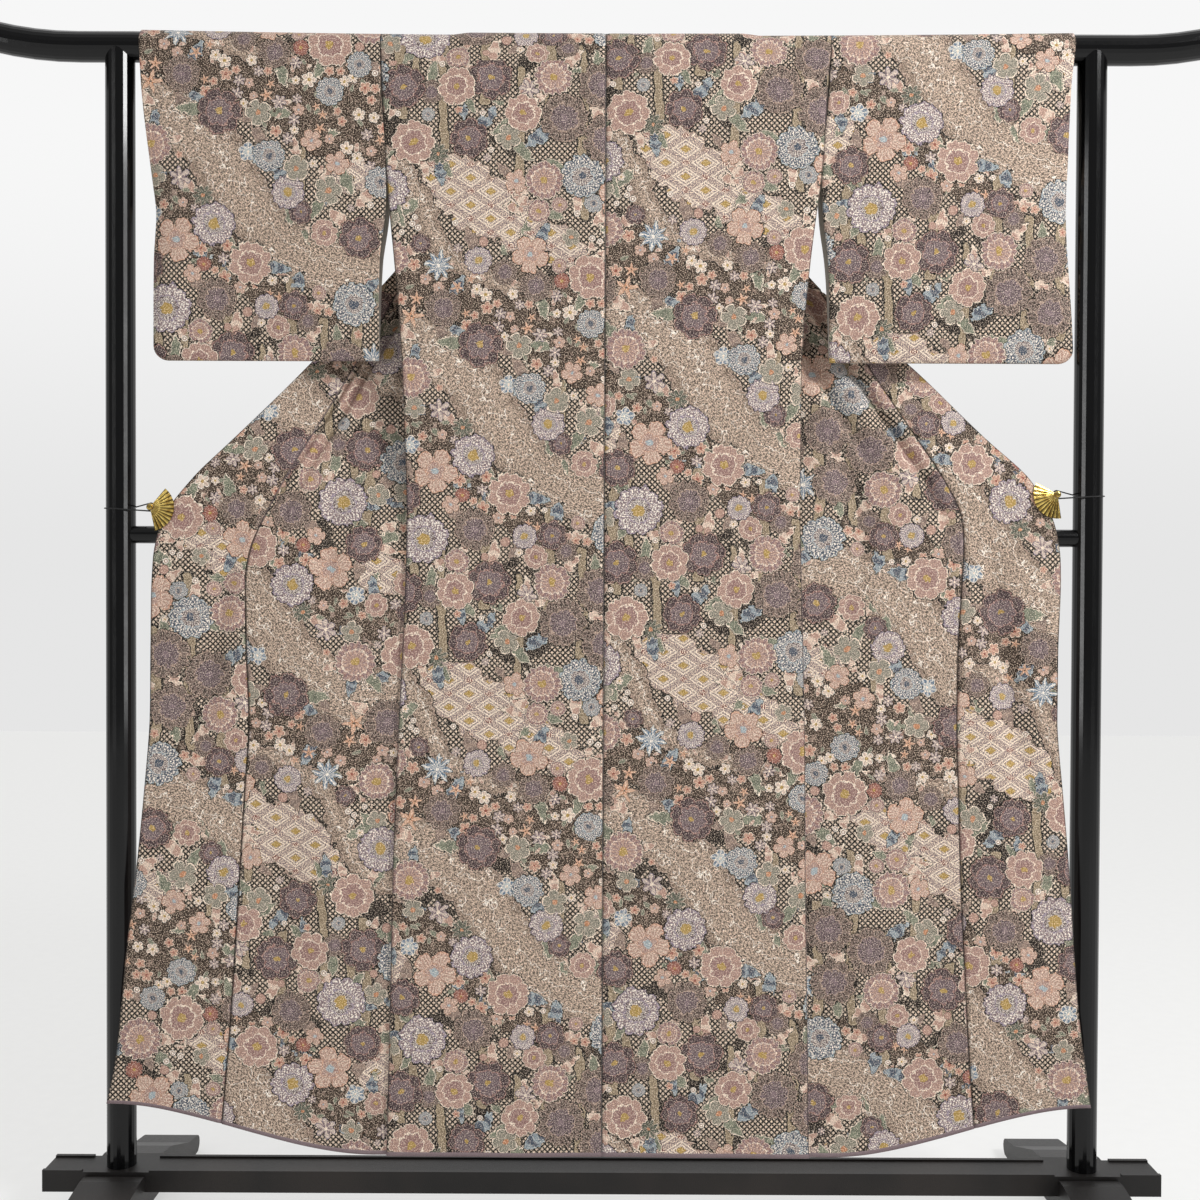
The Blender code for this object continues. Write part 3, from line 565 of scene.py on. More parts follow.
def sleeve_edge(inner, outer):
    """Along the sleeve's bottom, round its corner and up its closed outer edge to the cuff.

    Each point comes with how much of the way round it is.
    """
    flat = outer - CORNER_RADIUS - inner
    arc = math.pi / 2 * CORNER_RADIUS
    rise = CUFF_LOW - SLEEVE_BOTTOM - CORNER_RADIUS
    total = flat + arc + rise
    points = []
    for t in np.linspace(0, 1, round(flat / STEP) + 1)[:-1]:
        points.append((flat * t / total, inner + flat * t, SLEEVE_BOTTOM))
    for t in np.linspace(0, 1, CORNER_STEPS + 1)[:-1]:
        across = CORNER_RADIUS * (1 - math.sin(math.pi / 2 * t))
        up = CORNER_RADIUS * (1 - math.cos(math.pi / 2 * t))
        points.append(((flat + arc * t) / total, outer - across, SLEEVE_BOTTOM + up))
    for t in np.linspace(0, 1, round(rise / STEP) + 1):
        height = SLEEVE_BOTTOM + CORNER_RADIUS + rise * t
        points.append(((flat + arc + rise * t) / total, outer, height))
    return points


def sleeve_panel(side):
    """Lines from the rail down to the closed edge, each as a ring round both layers."""
    sign = SIDES[side]
    table = SLEEVE[side]
    inner_top = read(table, SLEEVE_COLUMNS, "inner", RAIL_HEIGHT)
    outer_top = read(table, SLEEVE_COLUMNS, "outer", RAIL_HEIGHT)
    inner_low = read(table, SLEEVE_COLUMNS, "inner", SLEEVE_BOTTOM)
    outer_low = read(table, SLEEVE_COLUMNS, "outer", SLEEVE_BOTTOM)
    count = round(SLEEVE_DEPTH / STEP)
    reach = math.pi * WRAP_RADIUS
    rings, u, v = [], [], []
    for share, low_x, low_z in sleeve_edge(inner_low, outer_low):
        top_x = inner_top + (outer_top - inner_top) * share
        layer = []
        for t in np.linspace(0, 1, count + 1):
            z = rail_height(top_x) + (low_z - rail_height(top_x)) * t
            x = top_x + (low_x - top_x) * t
            straight_in = inner_top + (inner_low - inner_top) * t
            straight_out = outer_top + (outer_low - outer_top) * t
            x += (read(table, SLEEVE_COLUMNS, "inner", z) - straight_in) * (1 - share) ** 2
            x += (read(table, SLEEVE_COLUMNS, "outer", z) - straight_out) * share**2
            half = SLEEVE_CLOSED + (WRAP_RADIUS - SLEEVE_CLOSED) * (1 - t**SLEEVE_SHAPE)
            layer.append((x, half, z))
        swell = [waves(sign * x, z) * min(1.0, half / 0.006) for x, half, z in layer]
        ring = [(sign * x, w - half, z) for (x, half, z), w in zip(layer, swell)][::-1]
        ring_u = [x for x, _, _ in layer[::-1]]
        ring_v = [rail_height(top_x) - z for _, _, z in layer[::-1]]
        for k in range(1, WRAP_STEPS):
            angle = math.pi * (1 - k / WRAP_STEPS)
            ring.append(far_side(sign * layer[0][0], angle * WRAP_RADIUS, WRAP_RADIUS))
            ring_u.append(layer[0][0])
            ring_v.append(-reach * k / WRAP_STEPS)
        ring += [(sign * x, half + w, z) for (x, half, z), w in zip(layer, swell)]
        ring_u += [x for x, _, _ in layer]
        ring_v += [-reach - rail_height(top_x) + z for _, _, z in layer]
        rings.append(ring)
        u.append([sign * x for x in ring_u])
        v.append(ring_v)
    return Panel(f"sleeve_{side}", rings, u, v, sign, ring=True)


def srgb(red, green, blue):
    """A colour given in the usual 0 to 255 values, as the shader wants it."""
    channels = []
    for value in (red, green, blue):
        share = value / 255
        channels.append(share / 12.92 if share < 0.04045 else ((share + 0.055) / 1.055) ** 2.4)
    return (*channels, 1.0)


INK = srgb(20, 16, 15)
GROUND = srgb(40, 33, 30)
CREAM = srgb(240, 225, 208)
WHITE = srgb(246, 238, 228)
STONE = srgb(180, 158, 144)
SAND = srgb(196, 176, 150)
TRUNK = srgb(174, 158, 134)
BEIGE_PINK = srgb(190, 158, 144)
ROSE = srgb(168, 134, 126)
TAUPE = srgb(142, 124, 116)
MAUVE = srgb(146, 128, 132)
DEEP_MAUVE = srgb(106, 88, 92)
LAVENDER = srgb(163, 150, 164)
BLUE = srgb(118, 138, 156)
PALE_BLUE = srgb(176, 186, 190)
DEEP_BLUE = srgb(92, 102, 116)
SAGE = srgb(142, 146, 128)
DARK_SAGE = srgb(104, 108, 96)
PEACH = srgb(208, 168, 146)
APRICOT = srgb(200, 148, 114)
RUST = srgb(160, 96, 82)
RED = srgb(140, 80, 74)
GOLD = srgb(188, 160, 98)
BROWN = srgb(96, 76, 62)

# Motifs of the woven pattern: how many petals, how blunt their tips are, how deep the notches
# between them go and at what share of the radius they part; the share of the radius of an inner
# ring of petals, of the centre and of the outline; marks round and along the petals, with their
# strength; and the colours.
Kind = collections.namedtuple(
    "Kind",
    "name petals blunt notch waist ring centre outline round_marks long_marks strength"
    " fill inside mark line heart",
)
KINDS = (
    Kind("peony", 7, 2.6, 0.7, 0.80, 0.62, 0.13, 0.035, 44, 0, 0.6, DEEP_MAUVE, MAUVE, INK, ROSE, GOLD),
    Kind("pale_peony", 8, 2.6, 0.7, 0.82, 0.58, 0.17, 0.035, 48, 0, 0.40,
         BEIGE_PINK, ROSE, MAUVE, CREAM, GOLD),
    Kind("stone_peony", 9, 2.2, 0.7, 0.82, 0.60, 0.16, 0.03, 36, 0, 0.8,
         TAUPE, MAUVE, GROUND, STONE, MAUVE),
    Kind("round_mum", 16, 2.0, 0.8, 0.86, 0.66, 0.20, 0.03, 16, 0, 0.6,
         ROSE, BEIGE_PINK, MAUVE, CREAM, GOLD),
    Kind("dotted_mum", 12, 2.4, 0.6, 0.84, 0.52, 0.26, 0.04, 30, 32, 0.95,
         MAUVE, DEEP_MAUVE, WHITE, LAVENDER, GOLD),
    Kind("blue_mum", 12, 2.4, 0.6, 0.84, 0.50, 0.20, 0.04, 28, 30, 0.9,
         DEEP_BLUE, DEEP_MAUVE, WHITE, PALE_BLUE, DEEP_BLUE),
    Kind("plum", 5, 3.0, 0.45, 0.26, 0.0, 0.22, 0.07, 45, 36, 0.7,
         DARK_SAGE, DARK_SAGE, CREAM, CREAM, APRICOT),
    Kind("red_plum", 6, 3.0, 0.45, 0.30, 0.0, 0.20, 0.08, 24, 20, 0.8, RED, RUST, WHITE, PEACH, WHITE),
    Kind("pink_plum", 5, 2.8, 0.5, 0.40, 0.45, 0.16, 0.05, 30, 0, 0.5,
         BEIGE_PINK, ROSE, CREAM, PEACH, PALE_BLUE),
    Kind("red_mum", 14, 2.0, 0.8, 0.80, 0.58, 0.18, 0.04, 28, 0, 0.5, RED, RUST, PEACH, ROSE, GOLD),
    Kind("star", 8, 1.0, 1.0, 0.42, 0.0, 0.10, 0.05, 16, 0, 0.8, BLUE, PALE_BLUE, WHITE, PALE_BLUE, WHITE),
    Kind("morning_glory", 5, 1.3, 1.0, 0.72, 0.50, 0.12, 0.05, 10, 0, 0.6,
         BLUE, PALE_BLUE, WHITE, CREAM, CREAM),
    Kind("maple", 5, 1.0, 1.5, 0.26, 0.0, 0.10, 0.04, 5, 0, 0.4, APRICOT, PEACH, CREAM, PEACH, BROWN),
    Kind("daisy", 9, 2.0, 0.7, 0.18, 0.0, 0.16, 0.06, 0, 0, 0.0, DARK_SAGE, SAGE, CREAM, CREAM, APRICOT),
    Kind("lavender_blossom", 6, 1.7, 0.8, 0.24, 0.0, 0.16, 0.06, 6, 0, 0.6,
         MAUVE, LAVENDER, CREAM, LAVENDER, CREAM),
    Kind("peach_blossom", 5, 2.4, 0.6, 0.34, 0.0, 0.22, 0.09, 5, 0, 0.4, PEACH, PEACH, ROSE, CREAM, RUST),
    Kind("cream_blossom", 5, 2.4, 0.6, 0.34, 0.0, 0.24, 0.08, 5, 0, 0.4, CREAM, SAND, ROSE, WHITE, GOLD),
    Kind("sage_leaf", 1, 1.0, 4.2, 0.0, 0.0, 0.0, 0.05, 0, 14, 0.5, SAGE, SAGE, DARK_SAGE, CREAM, SAGE),
    Kind("pink_leaf", 1, 1.0, 4.6, 0.0, 0.0, 0.0, 0.05, 0, 14, 0.6, BEIGE_PINK, ROSE, CREAM, CREAM, ROSE),
    Kind("blue_leaf", 1, 1.0, 4.0, 0.0, 0.0, 0.0, 0.05, 0, 16, 0.7,
         DEEP_BLUE, BLUE, PALE_BLUE, PALE_BLUE, BLUE),
    Kind("dark_leaf", 1, 1.0, 4.2, 0.0, 0.0, 0.0, 0.05, 0, 16, 0.6, TAUPE, TAUPE, STONE, STONE, TAUPE),
    Kind("berry", 1, 1.0, 1.0, 1.0, 0.0, 0.0, 0.12, 0, 0, 0.0, BEIGE_PINK, BEIGE_PINK, ROSE, ROSE, ROSE),
    Kind("dot", 1, 1.0, 1.0, 1.0, 0.0, 0.35, 0.25, 0, 0, 0.0, STONE, STONE, WHITE, WHITE, WHITE),
)
KIND_NAMES = [kind.name for kind in KINDS]
SLOTS = 3
KANOKO = 0.0053
LATTICE = (0.0275, 0.0186)
NO_MOTIF = 9.0
HALO = 0.055

# The repeat of the woven cloth, in metres: across the bolt and down its length
BOLT = 0.36
REPEAT = 0.69

# Bands of fine strands: points of the middle line (across, down) and half the width there
BANDS = (
    (
        (-0.04, 0.435, 0.038), (0.05, 0.430, 0.040), (0.125, 0.465, 0.041), (0.175, 0.535, 0.037),
        (0.225, 0.600, 0.036), (0.300, 0.640, 0.038), (0.400, 0.665, 0.034),
    ),
    (
        (-0.04, 0.150, 0.016), (0.03, 0.185, 0.019), (0.070, 0.240, 0.017), (0.100, 0.305, 0.014),
        (0.165, 0.345, 0.012), (0.250, 0.360, 0.008),
    ),
)
# Patches of diamond lattice, as ovals: middle across and down, half width and half height
PATCHES = (
    (0.115, 0.215, 0.052, 0.040), (0.165, 0.245, 0.058, 0.042), (0.225, 0.285, 0.050, 0.026),
    (0.270, 0.310, 0.034, 0.018), (0.020, 0.600, 0.034, 0.030), (0.335, 0.520, 0.030, 0.024),
)
# Dark gardens of small blossoms: points of the middle line and half the height there
GARDENS = (
    (
        (-0.04, 0.330, 0.050), (0.08, 0.350, 0.036), (0.19, 0.380, 0.052),
        (0.30, 0.420, 0.070), (0.40, 0.45, 0.07),
    ),
    (
        (-0.04, 0.530, 0.022), (0.07, 0.545, 0.028), (0.14, 0.610, 0.026),
        (0.22, 0.680, 0.022), (0.30, 0.71, 0.01),
    ),
)
# Tree trunks: place across, top, foot and width
TRUNKS = (
    (0.042, -0.075, 0.125, 0.013), (0.100, 0.010, 0.172, 0.011), (0.158, -0.050, 0.105, 0.014),
    (0.206, 0.055, 0.205, 0.010), (0.246, -0.080, 0.150, 0.013), (0.292, 0.020, 0.262, 0.011),
    (0.338, -0.055, 0.190, 0.013), (0.262, 0.480, 0.570, 0.010), (0.060, 0.655, 0.760, 0.010),
)


def smooth_line(points, count=60):
    """Points of a smooth curve through the given ones (Catmull-Rom)."""
    points = np.array(points, float)
    padded = np.concatenate([2 * points[:1] - points[1:2], points, 2 * points[-1:] - points[-2:-1]])
    result = []
    for t in np.linspace(0, len(points) - 1, count):
        k = min(int(t), len(points) - 2)
        a, b, c, d = padded[k : k + 4]
        t -= k
        bent = (2 * a - 5 * b + 4 * c - d) * t**2 + (3 * b - a - 3 * c + d) * t**3
        result.append(0.5 * (2 * b + (c - a) * t + bent))
    return np.array(result)


def along_line(points, u, v):
    """For each place: how deep it lies inside the band, and its place along and across it."""
    line = smooth_line(points)
    steps = np.linalg.norm(np.diff(line[:, :2], axis=0), axis=1)
    run = np.concatenate([[0], np.cumsum(steps)])
    best = np.full(u.shape, -1.0)
    along, across = np.zeros(u.shape), np.zeros(u.shape)
    for k in range(len(line) - 1):
        start, step = line[k, :2], line[k + 1, :2] - line[k, :2]
        length = steps[k]
        du, dv = u - start[0], v - start[1]
        t = np.clip((du * step[0] + dv * step[1]) / length**2, 0, 1)
        away = np.hypot(du - t * step[0], dv - t * step[1])
        inside = line[k, 2] + t * (line[k + 1, 2] - line[k, 2]) - away
        better = inside > best
        best = np.where(better, inside, best)
        along = np.where(better, run[k] + t * length, along)
        side = (du * step[1] - dv * step[0]) / length
        across = np.where(better, side, across)
    return best, along, across


def pattern_fields(u, v):
    """How deep each place lies inside the bands, patches, gardens and trunks of the pattern.

    Depths are in millimetres, negative outside; the band also gives its place along and across.
    """
    v = np.mod(v, REPEAT)
    shape = u.shape
    band = np.full(shape, -1.0)
    along, across = np.zeros(shape), np.zeros(shape)
    patch, garden, trunk = (np.full(shape, -1.0) for _ in range(3))
    for shift in (-REPEAT, 0.0, REPEAT):
        for points in BANDS:
            depth, length, side = along_line(points, u, v + shift)
            better = depth > band
            band = np.where(better, depth, band)
            along, across = np.where(better, length, along), np.where(better, side, across)
        for middle_u, middle_v, half_u, half_v in PATCHES:
            reach = np.hypot((u - middle_u) / half_u, (v + shift - middle_v) / half_v)
            patch = np.maximum(patch, (1 - reach) * min(half_u, half_v))
        for points in GARDENS:
            garden = np.maximum(garden, along_line(points, u, v + shift)[0])
        for place, top, foot, width in TRUNKS:
            wander = 0.0022 * np.sin((v + shift) * 37 + place * 80)
            side = width / 2 - np.abs(u - place - wander)
            ends = np.minimum(v + shift - top, foot - v - shift)
            trunk = np.maximum(trunk, np.minimum(side, ends))
    return [1000 * field for field in (band, along, across, patch, garden, trunk)]


# What grows where: motif kinds, their radii, how many are tried, and how close they may stand
# as a share of the two radii. On "open" ground the bands and patches only reach under a
# motif's edge; a "garden" is one of the dark gardens.
Planting = collections.namedtuple("Planting", "kinds low high count closeness where")
PLANTINGS = (
    Planting(
        "peony pale_peony stone_peony dotted_mum round_mum pink_plum "
        "peony pale_peony stone_peony blue_mum round_mum",
        0.025, 0.034, 90, 0.86, "open",
    ),
    Planting(
        "plum stone_peony star plum pale_peony dotted_mum "
        "red_plum peony plum pink_plum blue_mum",
        0.016, 0.023, 120, 0.82, "open",
    ),
    Planting("dotted_mum plum blue_mum pale_peony", 0.015, 0.020, 60, 0.95, "garden"),
    Planting(
        "maple daisy round_mum lavender_blossom pale_peony "
        "pink_plum stone_peony plum morning_glory peony",
        0.012, 0.018, 130, 0.80, "open",
    ),
    Planting("red_mum round_mum blue_mum peach_blossom", 0.009, 0.013, 90, 0.85, "open"),
    Planting(
        "peach_blossom cream_blossom lavender_blossom "
        "maple pink_plum peach_blossom",
        0.006, 0.0105, 1500, 0.80, "garden",
    ),
    Planting(
        "berry peach_blossom cream_blossom berry lavender_blossom", 0.005, 0.0075, 260, 1.0, "open",
    ),
    Planting("dot", 0.0036, 0.0044, 200, 1.1, "open"),
    Planting("sage_leaf sage_leaf pink_leaf", 0.009, 0.015, 700, 0.55, "garden"),
)
LEAVES = ("sage_leaf", "pink_leaf", "dark_leaf", "blue_leaf", "sage_leaf", "pink_leaf")


def plant_motifs():
    """All motifs of one repeat, the topmost first: (across, down, radius, turn, kind)."""
    chance = random.Random(20)
    motifs = []
    for planting in PLANTINGS:
        kinds = planting.kinds.split()
        spots = np.array(
            [
                (chance.uniform(-0.02, BOLT + 0.02), chance.uniform(0, REPEAT))
                for _ in range(planting.count)
            ]
        )
        band, _, _, patch, garden, _ = pattern_fields(spots[:, 0], spots[:, 1])
        for k, (u, v) in enumerate(spots):
            radius = chance.uniform(planting.low, planting.high)
            turn = chance.uniform(0, 2 * math.pi)
            kind = kinds[len(motifs) % len(kinds)]
            if planting.where == "garden" and garden[k] < 0:
                continue
            deep = max(band[k], patch[k]) / 1000
            if planting.where == "open" and (deep > 0.35 * radius or garden[k] > 18):
                continue
            if any(near(u - m[0], v - m[1]) < planting.closeness * (radius + m[2]) for m in motifs):
                continue
            motifs.append((u, v, radius, turn, kind))
    leaves = []
    for u, v, radius, _, kind in motifs:
        if radius < 0.014 or kind in ("star", "maple"):
            continue
        for _ in range(chance.randrange(2, 5)):
            turn = chance.uniform(0, 2 * math.pi)
            length = chance.uniform(0.024, 0.040)
            start = 0.75 * radius
            leaf = LEAVES[len(leaves) % len(LEAVES)]
            root_u, root_v = u + start * math.cos(turn), v + start * math.sin(turn)
            leaves.append((root_u, root_v, length, turn, leaf))
    return motifs + leaves


def near(across, down):
    """Distance within the repeating cloth."""
    down = (down + REPEAT / 2) % REPEAT - REPEAT / 2
    return math.hypot(across, down)


def motif_layers(u, v, motifs):
    """For each face of a grid, its topmost motifs: places of its corners in each motif's own
    measure, where the radius is 1, and the motif's kind.
    """
    face_u = (u[:-1, :-1] + u[1:, 1:]) / 2
    face_v = (v[:-1, :-1] + v[1:, 1:]) / 2
    layers = np.full((SLOTS, *face_u.shape, 4, 3), NO_MOTIF)
    used = np.zeros(face_u.shape, int)
    corner_u = np.stack([u[:-1, :-1], u[1:, :-1], u[1:, 1:], u[:-1, 1:]], axis=-1)
    corner_v = np.stack([v[:-1, :-1], v[1:, :-1], v[1:, 1:], v[:-1, 1:]], axis=-1)
    low = math.floor(v.min() / REPEAT) - 1
    high = math.floor(v.max() / REPEAT) + 1
    for place_u, place_v, radius, turn, kind in motifs:
        reach = radius + 0.8 * STEP
        if place_u + reach < u.min() or place_u - reach > u.max():
            continue
        value = (KIND_NAMES.index(kind) + 0.5) / len(KINDS)
        for repeat in range(low, high + 1):
            down = place_v + repeat * REPEAT
            if down + reach < v.min() or down - reach > v.max():
                continue
            covered = np.hypot(face_u - place_u, face_v - down) < reach
            covered &= used < SLOTS
            rows, columns = np.nonzero(covered)
            du = (corner_u[rows, columns] - place_u) / radius
            dv = (corner_v[rows, columns] - down) / radius
            local = np.stack(
                [
                    du * math.cos(turn) + dv * math.sin(turn),
                    dv * math.cos(turn) - du * math.sin(turn),
                    np.full(du.shape, value),
                ],
                axis=-1,
            )
            layers[used[rows, columns], rows, columns] = local
            used[rows, columns] += 1
    return layers


class Graph:
    """Builds a shader's node tree; each method returns the socket with its result.

    Noise has two dimensions where all places lie in the woven cloth's plane.
    """

    def __init__(self, tree, dimensions="3D"):
        self.tree = tree
        self.dimensions = dimensions

    def add(self, kind, **settings):
        node = self.tree.nodes.new(kind)
        for name, value in settings.items():
            setattr(node, name, value)
        return node

    def feed(self, socket, value):
        if isinstance(value, bpy.types.NodeSocket):
            self.tree.links.new(value, socket)
        else:
            socket.default_value = value

    def math(self, operation, first, second=0.0, third=0.0):
        node = self.add("ShaderNodeMath", operation=operation)
        for socket, value in zip(node.inputs, (first, second, third)):
            self.feed(socket, value)
        return node.outputs[0]

    def plus(self, first, second):
        return self.math("ADD", first, second)

    def minus(self, first, second):
        return self.math("SUBTRACT", first, second)

    def times(self, first, second):
        return self.math("MULTIPLY", first, second)

    def off(self, value, middle):
        """How far the value is from the middle, on either side."""
        return self.math("ABSOLUTE", self.minus(value, middle))

    def chain(self, value, *steps):
        """The value after a run of (operation, number) steps."""
        for operation, number in steps:
            value = self.math(operation, value, number)
        return value

    def rise(self, value, low, high):
        """0 below low, 1 above high, smooth in between; low may be the higher one."""
        node = self.add("ShaderNodeMapRange", interpolation_type="SMOOTHSTEP")
        for name, number in (("Value", value), ("From Min", low), ("From Max", high)):
            self.feed(node.inputs[name], number)
        return node.outputs["Result"]

    def mix(self, share, first, second, blend="MIX"):
        node = self.add("ShaderNodeMix", data_type="RGBA", blend_type=blend)
        self.feed(node.inputs["Factor"], share)
        for socket, value in zip([s for s in node.inputs if s.type == "RGBA"], (first, second)):
            self.feed(socket, value)
        return next(s for s in node.outputs if s.type == "RGBA")

    def attribute(self, name, output="Fac"):
        return self.add("ShaderNodeAttribute", attribute_name=name).outputs[output]

    def split(self, vector):
        node = self.add("ShaderNodeSeparateXYZ")
        self.feed(node.inputs[0], vector)
        return node.outputs[0], node.outputs[1], node.outputs[2]

    def join(self, x, y, z=0.0):
        node = self.add("ShaderNodeCombineXYZ")
        for socket, value in zip(node.inputs, (x, y, z)):
            self.feed(socket, value)
        return node.outputs[0]

    def noise(self, vector, scale, detail=2.0, roughness=0.5, output="Fac"):
        node = self.add("ShaderNodeTexNoise", noise_dimensions=self.dimensions)
        self.feed(node.inputs["Vector"], vector)
        for name, value in (("Scale", scale), ("Detail", detail), ("Roughness", roughness)):
            node.inputs[name].default_value = value
        return node.outputs[output]

    def cells(self, vector, scale):
        node = self.add("ShaderNodeTexVoronoi")
        self.feed(node.inputs["Vector"], vector)
        node.inputs["Scale"].default_value = scale
        return node.outputs["Distance"]

    def table(self, value, entries):
        """Looks a value from 0 to 1 up in a list of (red, green, blue, alpha)."""
        node = self.add("ShaderNodeValToRGB")
        ramp = node.color_ramp
        ramp.interpolation = "CONSTANT"
        for k, entry in enumerate(entries):
            if k < 2:
                stop = ramp.elements[k]
                stop.position = k / len(entries)
            else:
                stop = ramp.elements.new(k / len(entries))
            stop.color = entry
        self.feed(node.inputs[0], value)
        return node.outputs["Color"], node.outputs["Alpha"]


def motif_tree(name, output, socket_type):
    """An empty node group that gets a place in a motif's own frame, its kind as z."""
    tree = bpy.data.node_groups.new(name, "ShaderNodeTree")
    tree.interface.new_socket("Place", in_out="INPUT", socket_type="NodeSocketVector")
    tree.interface.new_socket(output, in_out="OUTPUT", socket_type=socket_type)
    return Graph(tree)


def petals(g, place):
    """The radius and angle of a place, how far it is off its petal's axis, and the outline.

    The outline comes as a function, because a flower's inner ring of petals uses it as well.
    """
    x, y, kind = g.split(place)
    shape, waist = g.table(kind, [(k.petals / 16, k.blunt / 4, k.notch / 6, k.waist) for k in KINDS])
    count, blunt, notch = g.split(shape)
    radius = g.math("SQRT", g.plus(g.times(x, x), g.times(y, y)))
    angle = g.math("ARCTAN2", y, x)
    turns = g.times(angle, g.times(count, 16 / (2 * math.pi)))
    fraction = g.math("FRACT", g.plus(turns, 16.5))
    off_axis = g.math("ABSOLUTE", g.chain(fraction, ("SUBTRACT", 0.5), ("MULTIPLY", 2.0)))
    tip = g.times(blunt, 4.0)
    depth = g.times(notch, 6.0)
    spare = g.minus(1.0, waist)

    def petal_edge(off):
        bulge = g.math("POWER", g.minus(1.0, g.math("POWER", off, tip)), depth)
        return g.math("MULTIPLY_ADD", spare, bulge, waist)

    return kind, radius, angle, off_axis, petal_edge


def cover_group():
    """A node group that says where a motif covers what lies below it."""
    g = motif_tree("cover", "Cover", "NodeSocketFloat")
    place = g.add("NodeGroupInput").outputs["Place"]
    _, radius, _, off_axis, petal_edge = petals(g, place)
    inward = g.minus(petal_edge(off_axis), radius)
    g.feed(g.add("NodeGroupOutput").inputs["Cover"], g.math("GREATER_THAN", inward, -HALO))
    return g.tree


def color_group():
    """A node group with a motif's colour."""
    g = motif_tree("color", "Color", "NodeSocketColor")
    place = g.add("NodeGroupInput").outputs["Place"]
    kind, radius, angle, off_axis, petal_edge = petals(g, place)
    rings, outline = g.table(kind, [(k.ring, k.centre, k.strength, k.outline) for k in KINDS])
    marks, _ = g.table(kind, [(k.round_marks / 64, k.long_marks / 64, 0, 1) for k in KINDS])
    ring, centre, strength = g.split(rings)
    round_marks, long_marks, _ = g.split(marks)
    fill, inside, mark, line, heart = (
        g.table(kind, [getattr(k, name) for k in KINDS])[0]
        for name in ("fill", "inside", "mark", "line", "heart")
    )
    inner_edge = g.times(ring, petal_edge(g.minus(1.0, off_axis)))
    inward = g.minus(petal_edge(off_axis), radius)
    inner_inward = g.minus(inner_edge, radius)

    round_wave = g.math("COSINE", g.times(angle, g.times(round_marks, 64.0)))
    long_wave = g.math("COSINE", g.times(radius, g.times(long_marks, 64.0)))
    wave = g.rise(g.times(round_wave, long_wave), -0.1, 0.5)
    marked = g.times(wave, strength)
    color = g.mix(g.rise(inner_inward, -0.01, 0.01), fill, inside)
    color = g.mix(marked, color, mark)
    inner_line = g.rise(g.math("ABSOLUTE", inner_inward), 0.035, 0.015)
    color = g.mix(g.times(inner_line, g.math("GREATER_THAN", ring, 0.1)), color, line)
    seam = g.times(g.rise(off_axis, 0.90, 0.97), g.rise(radius, 0.2, 0.4))
    color = g.mix(g.times(seam, 0.5), color, line)
    color = g.mix(g.rise(g.minus(inward, outline), 0.015, -0.005), color, line)
    in_centre = g.rise(g.minus(centre, radius), -0.01, 0.01)
    color = g.mix(in_centre, color, heart)
    color = g.mix(g.rise(inward, 0.0, -0.01), color, INK)
    g.feed(g.add("NodeGroupOutput").inputs["Color"], color)
    return g.tree


def kanoko(g, u, v, fine):
    """Tie-dyed dots: pale squares on their tips in a slanting lattice on a dark ground."""
    slant = KANOKO * math.sqrt(2) / 2
    first = g.math("FRACT", g.chain(g.plus(u, v), ("DIVIDE", 2 * slant), ("ADD", 100.0)))
    second = g.math("FRACT", g.chain(g.minus(u, v), ("DIVIDE", 2 * slant), ("ADD", 100.0)))
    off = [g.off(value, 0.5) for value in (first, second)]
    away = g.math("MAXIMUM", *off)
    dot = g.rise(g.plus(away, g.chain(fine, ("SUBTRACT", 0.5), ("MULTIPLY", 0.16))), 0.31, 0.26)
    return g.mix(dot, INK, srgb(222, 203, 184))


def lattice(g, u, v, fine):
    """The diamond lattice: gold diamonds and clusters of red dots by turns, in pale lines."""
    x, y = g.math("DIVIDE", u, LATTICE[0]), g.math("DIVIDE", v, LATTICE[1])
    steps = []
    for value in (g.plus(x, y), g.minus(x, y)):
        near_zero = g.math("FRACT", g.chain(value, ("MULTIPLY", 0.5), ("ADD", 50.5)))
        steps.append(g.off(near_zero, 0.5))
    away = g.plus(g.math("MAXIMUM", *steps), g.chain(fine, ("SUBTRACT", 0.5), ("MULTIPLY", 0.05)))
    corner = g.math("MINIMUM", *steps)
    color = g.mix(g.rise(fine, 0.42, 0.60), srgb(150, 134, 138), srgb(216, 196, 176))
    color = g.mix(g.rise(g.off(away, 0.33), 0.035, 0.015), color, CREAM)
    color = g.mix(g.rise(g.off(away, 0.21), 0.030, 0.015), color, CREAM)
    color = g.mix(g.rise(away, 0.15, 0.13), color, GOLD)
    red = g.rise(corner, 0.37, 0.40)
    return g.mix(red, color, g.mix(g.rise(fine, 0.50, 0.56), RED, CREAM))


def strands(g, along, across, fine, middling):
    """A band of beige specks and curls on brown, with a few thin pale lines winding along it."""
    stretched = g.join(g.times(along, 0.7), across)
    speck = g.noise(stretched, 0.42, 4.0, 0.85)
    color = g.mix(g.rise(speck, 0.44, 0.56), srgb(60, 44, 36), srgb(220, 197, 178))
    curl = g.off(fine, 0.46)
    color = g.mix(g.times(g.rise(curl, 0.03, 0.01), 0.4), color, CREAM)
    bend = g.chain(middling, ("SUBTRACT", 0.5), ("MULTIPLY", 60.0))
    wave = g.chain(g.plus(across, bend), ("DIVIDE", 30.0), ("ADD", 40.3))
    line = g.off(g.math("FRACT", wave), 0.5)
    return g.mix(g.times(g.rise(line, 0.042, 0.020), g.rise(fine, 0.30, 0.38)), color, WHITE)


def garden_ground(g, fine, middling):
    """Dark brown with pale stems and specks between the small blossoms."""
    color = g.mix(g.rise(fine, 0.52, 0.66), srgb(72, 60, 52), srgb(128, 106, 88))
    stem = g.off(middling, 0.5)
    return g.mix(g.times(g.rise(stem, 0.022, 0.010), 0.7), color, STONE)


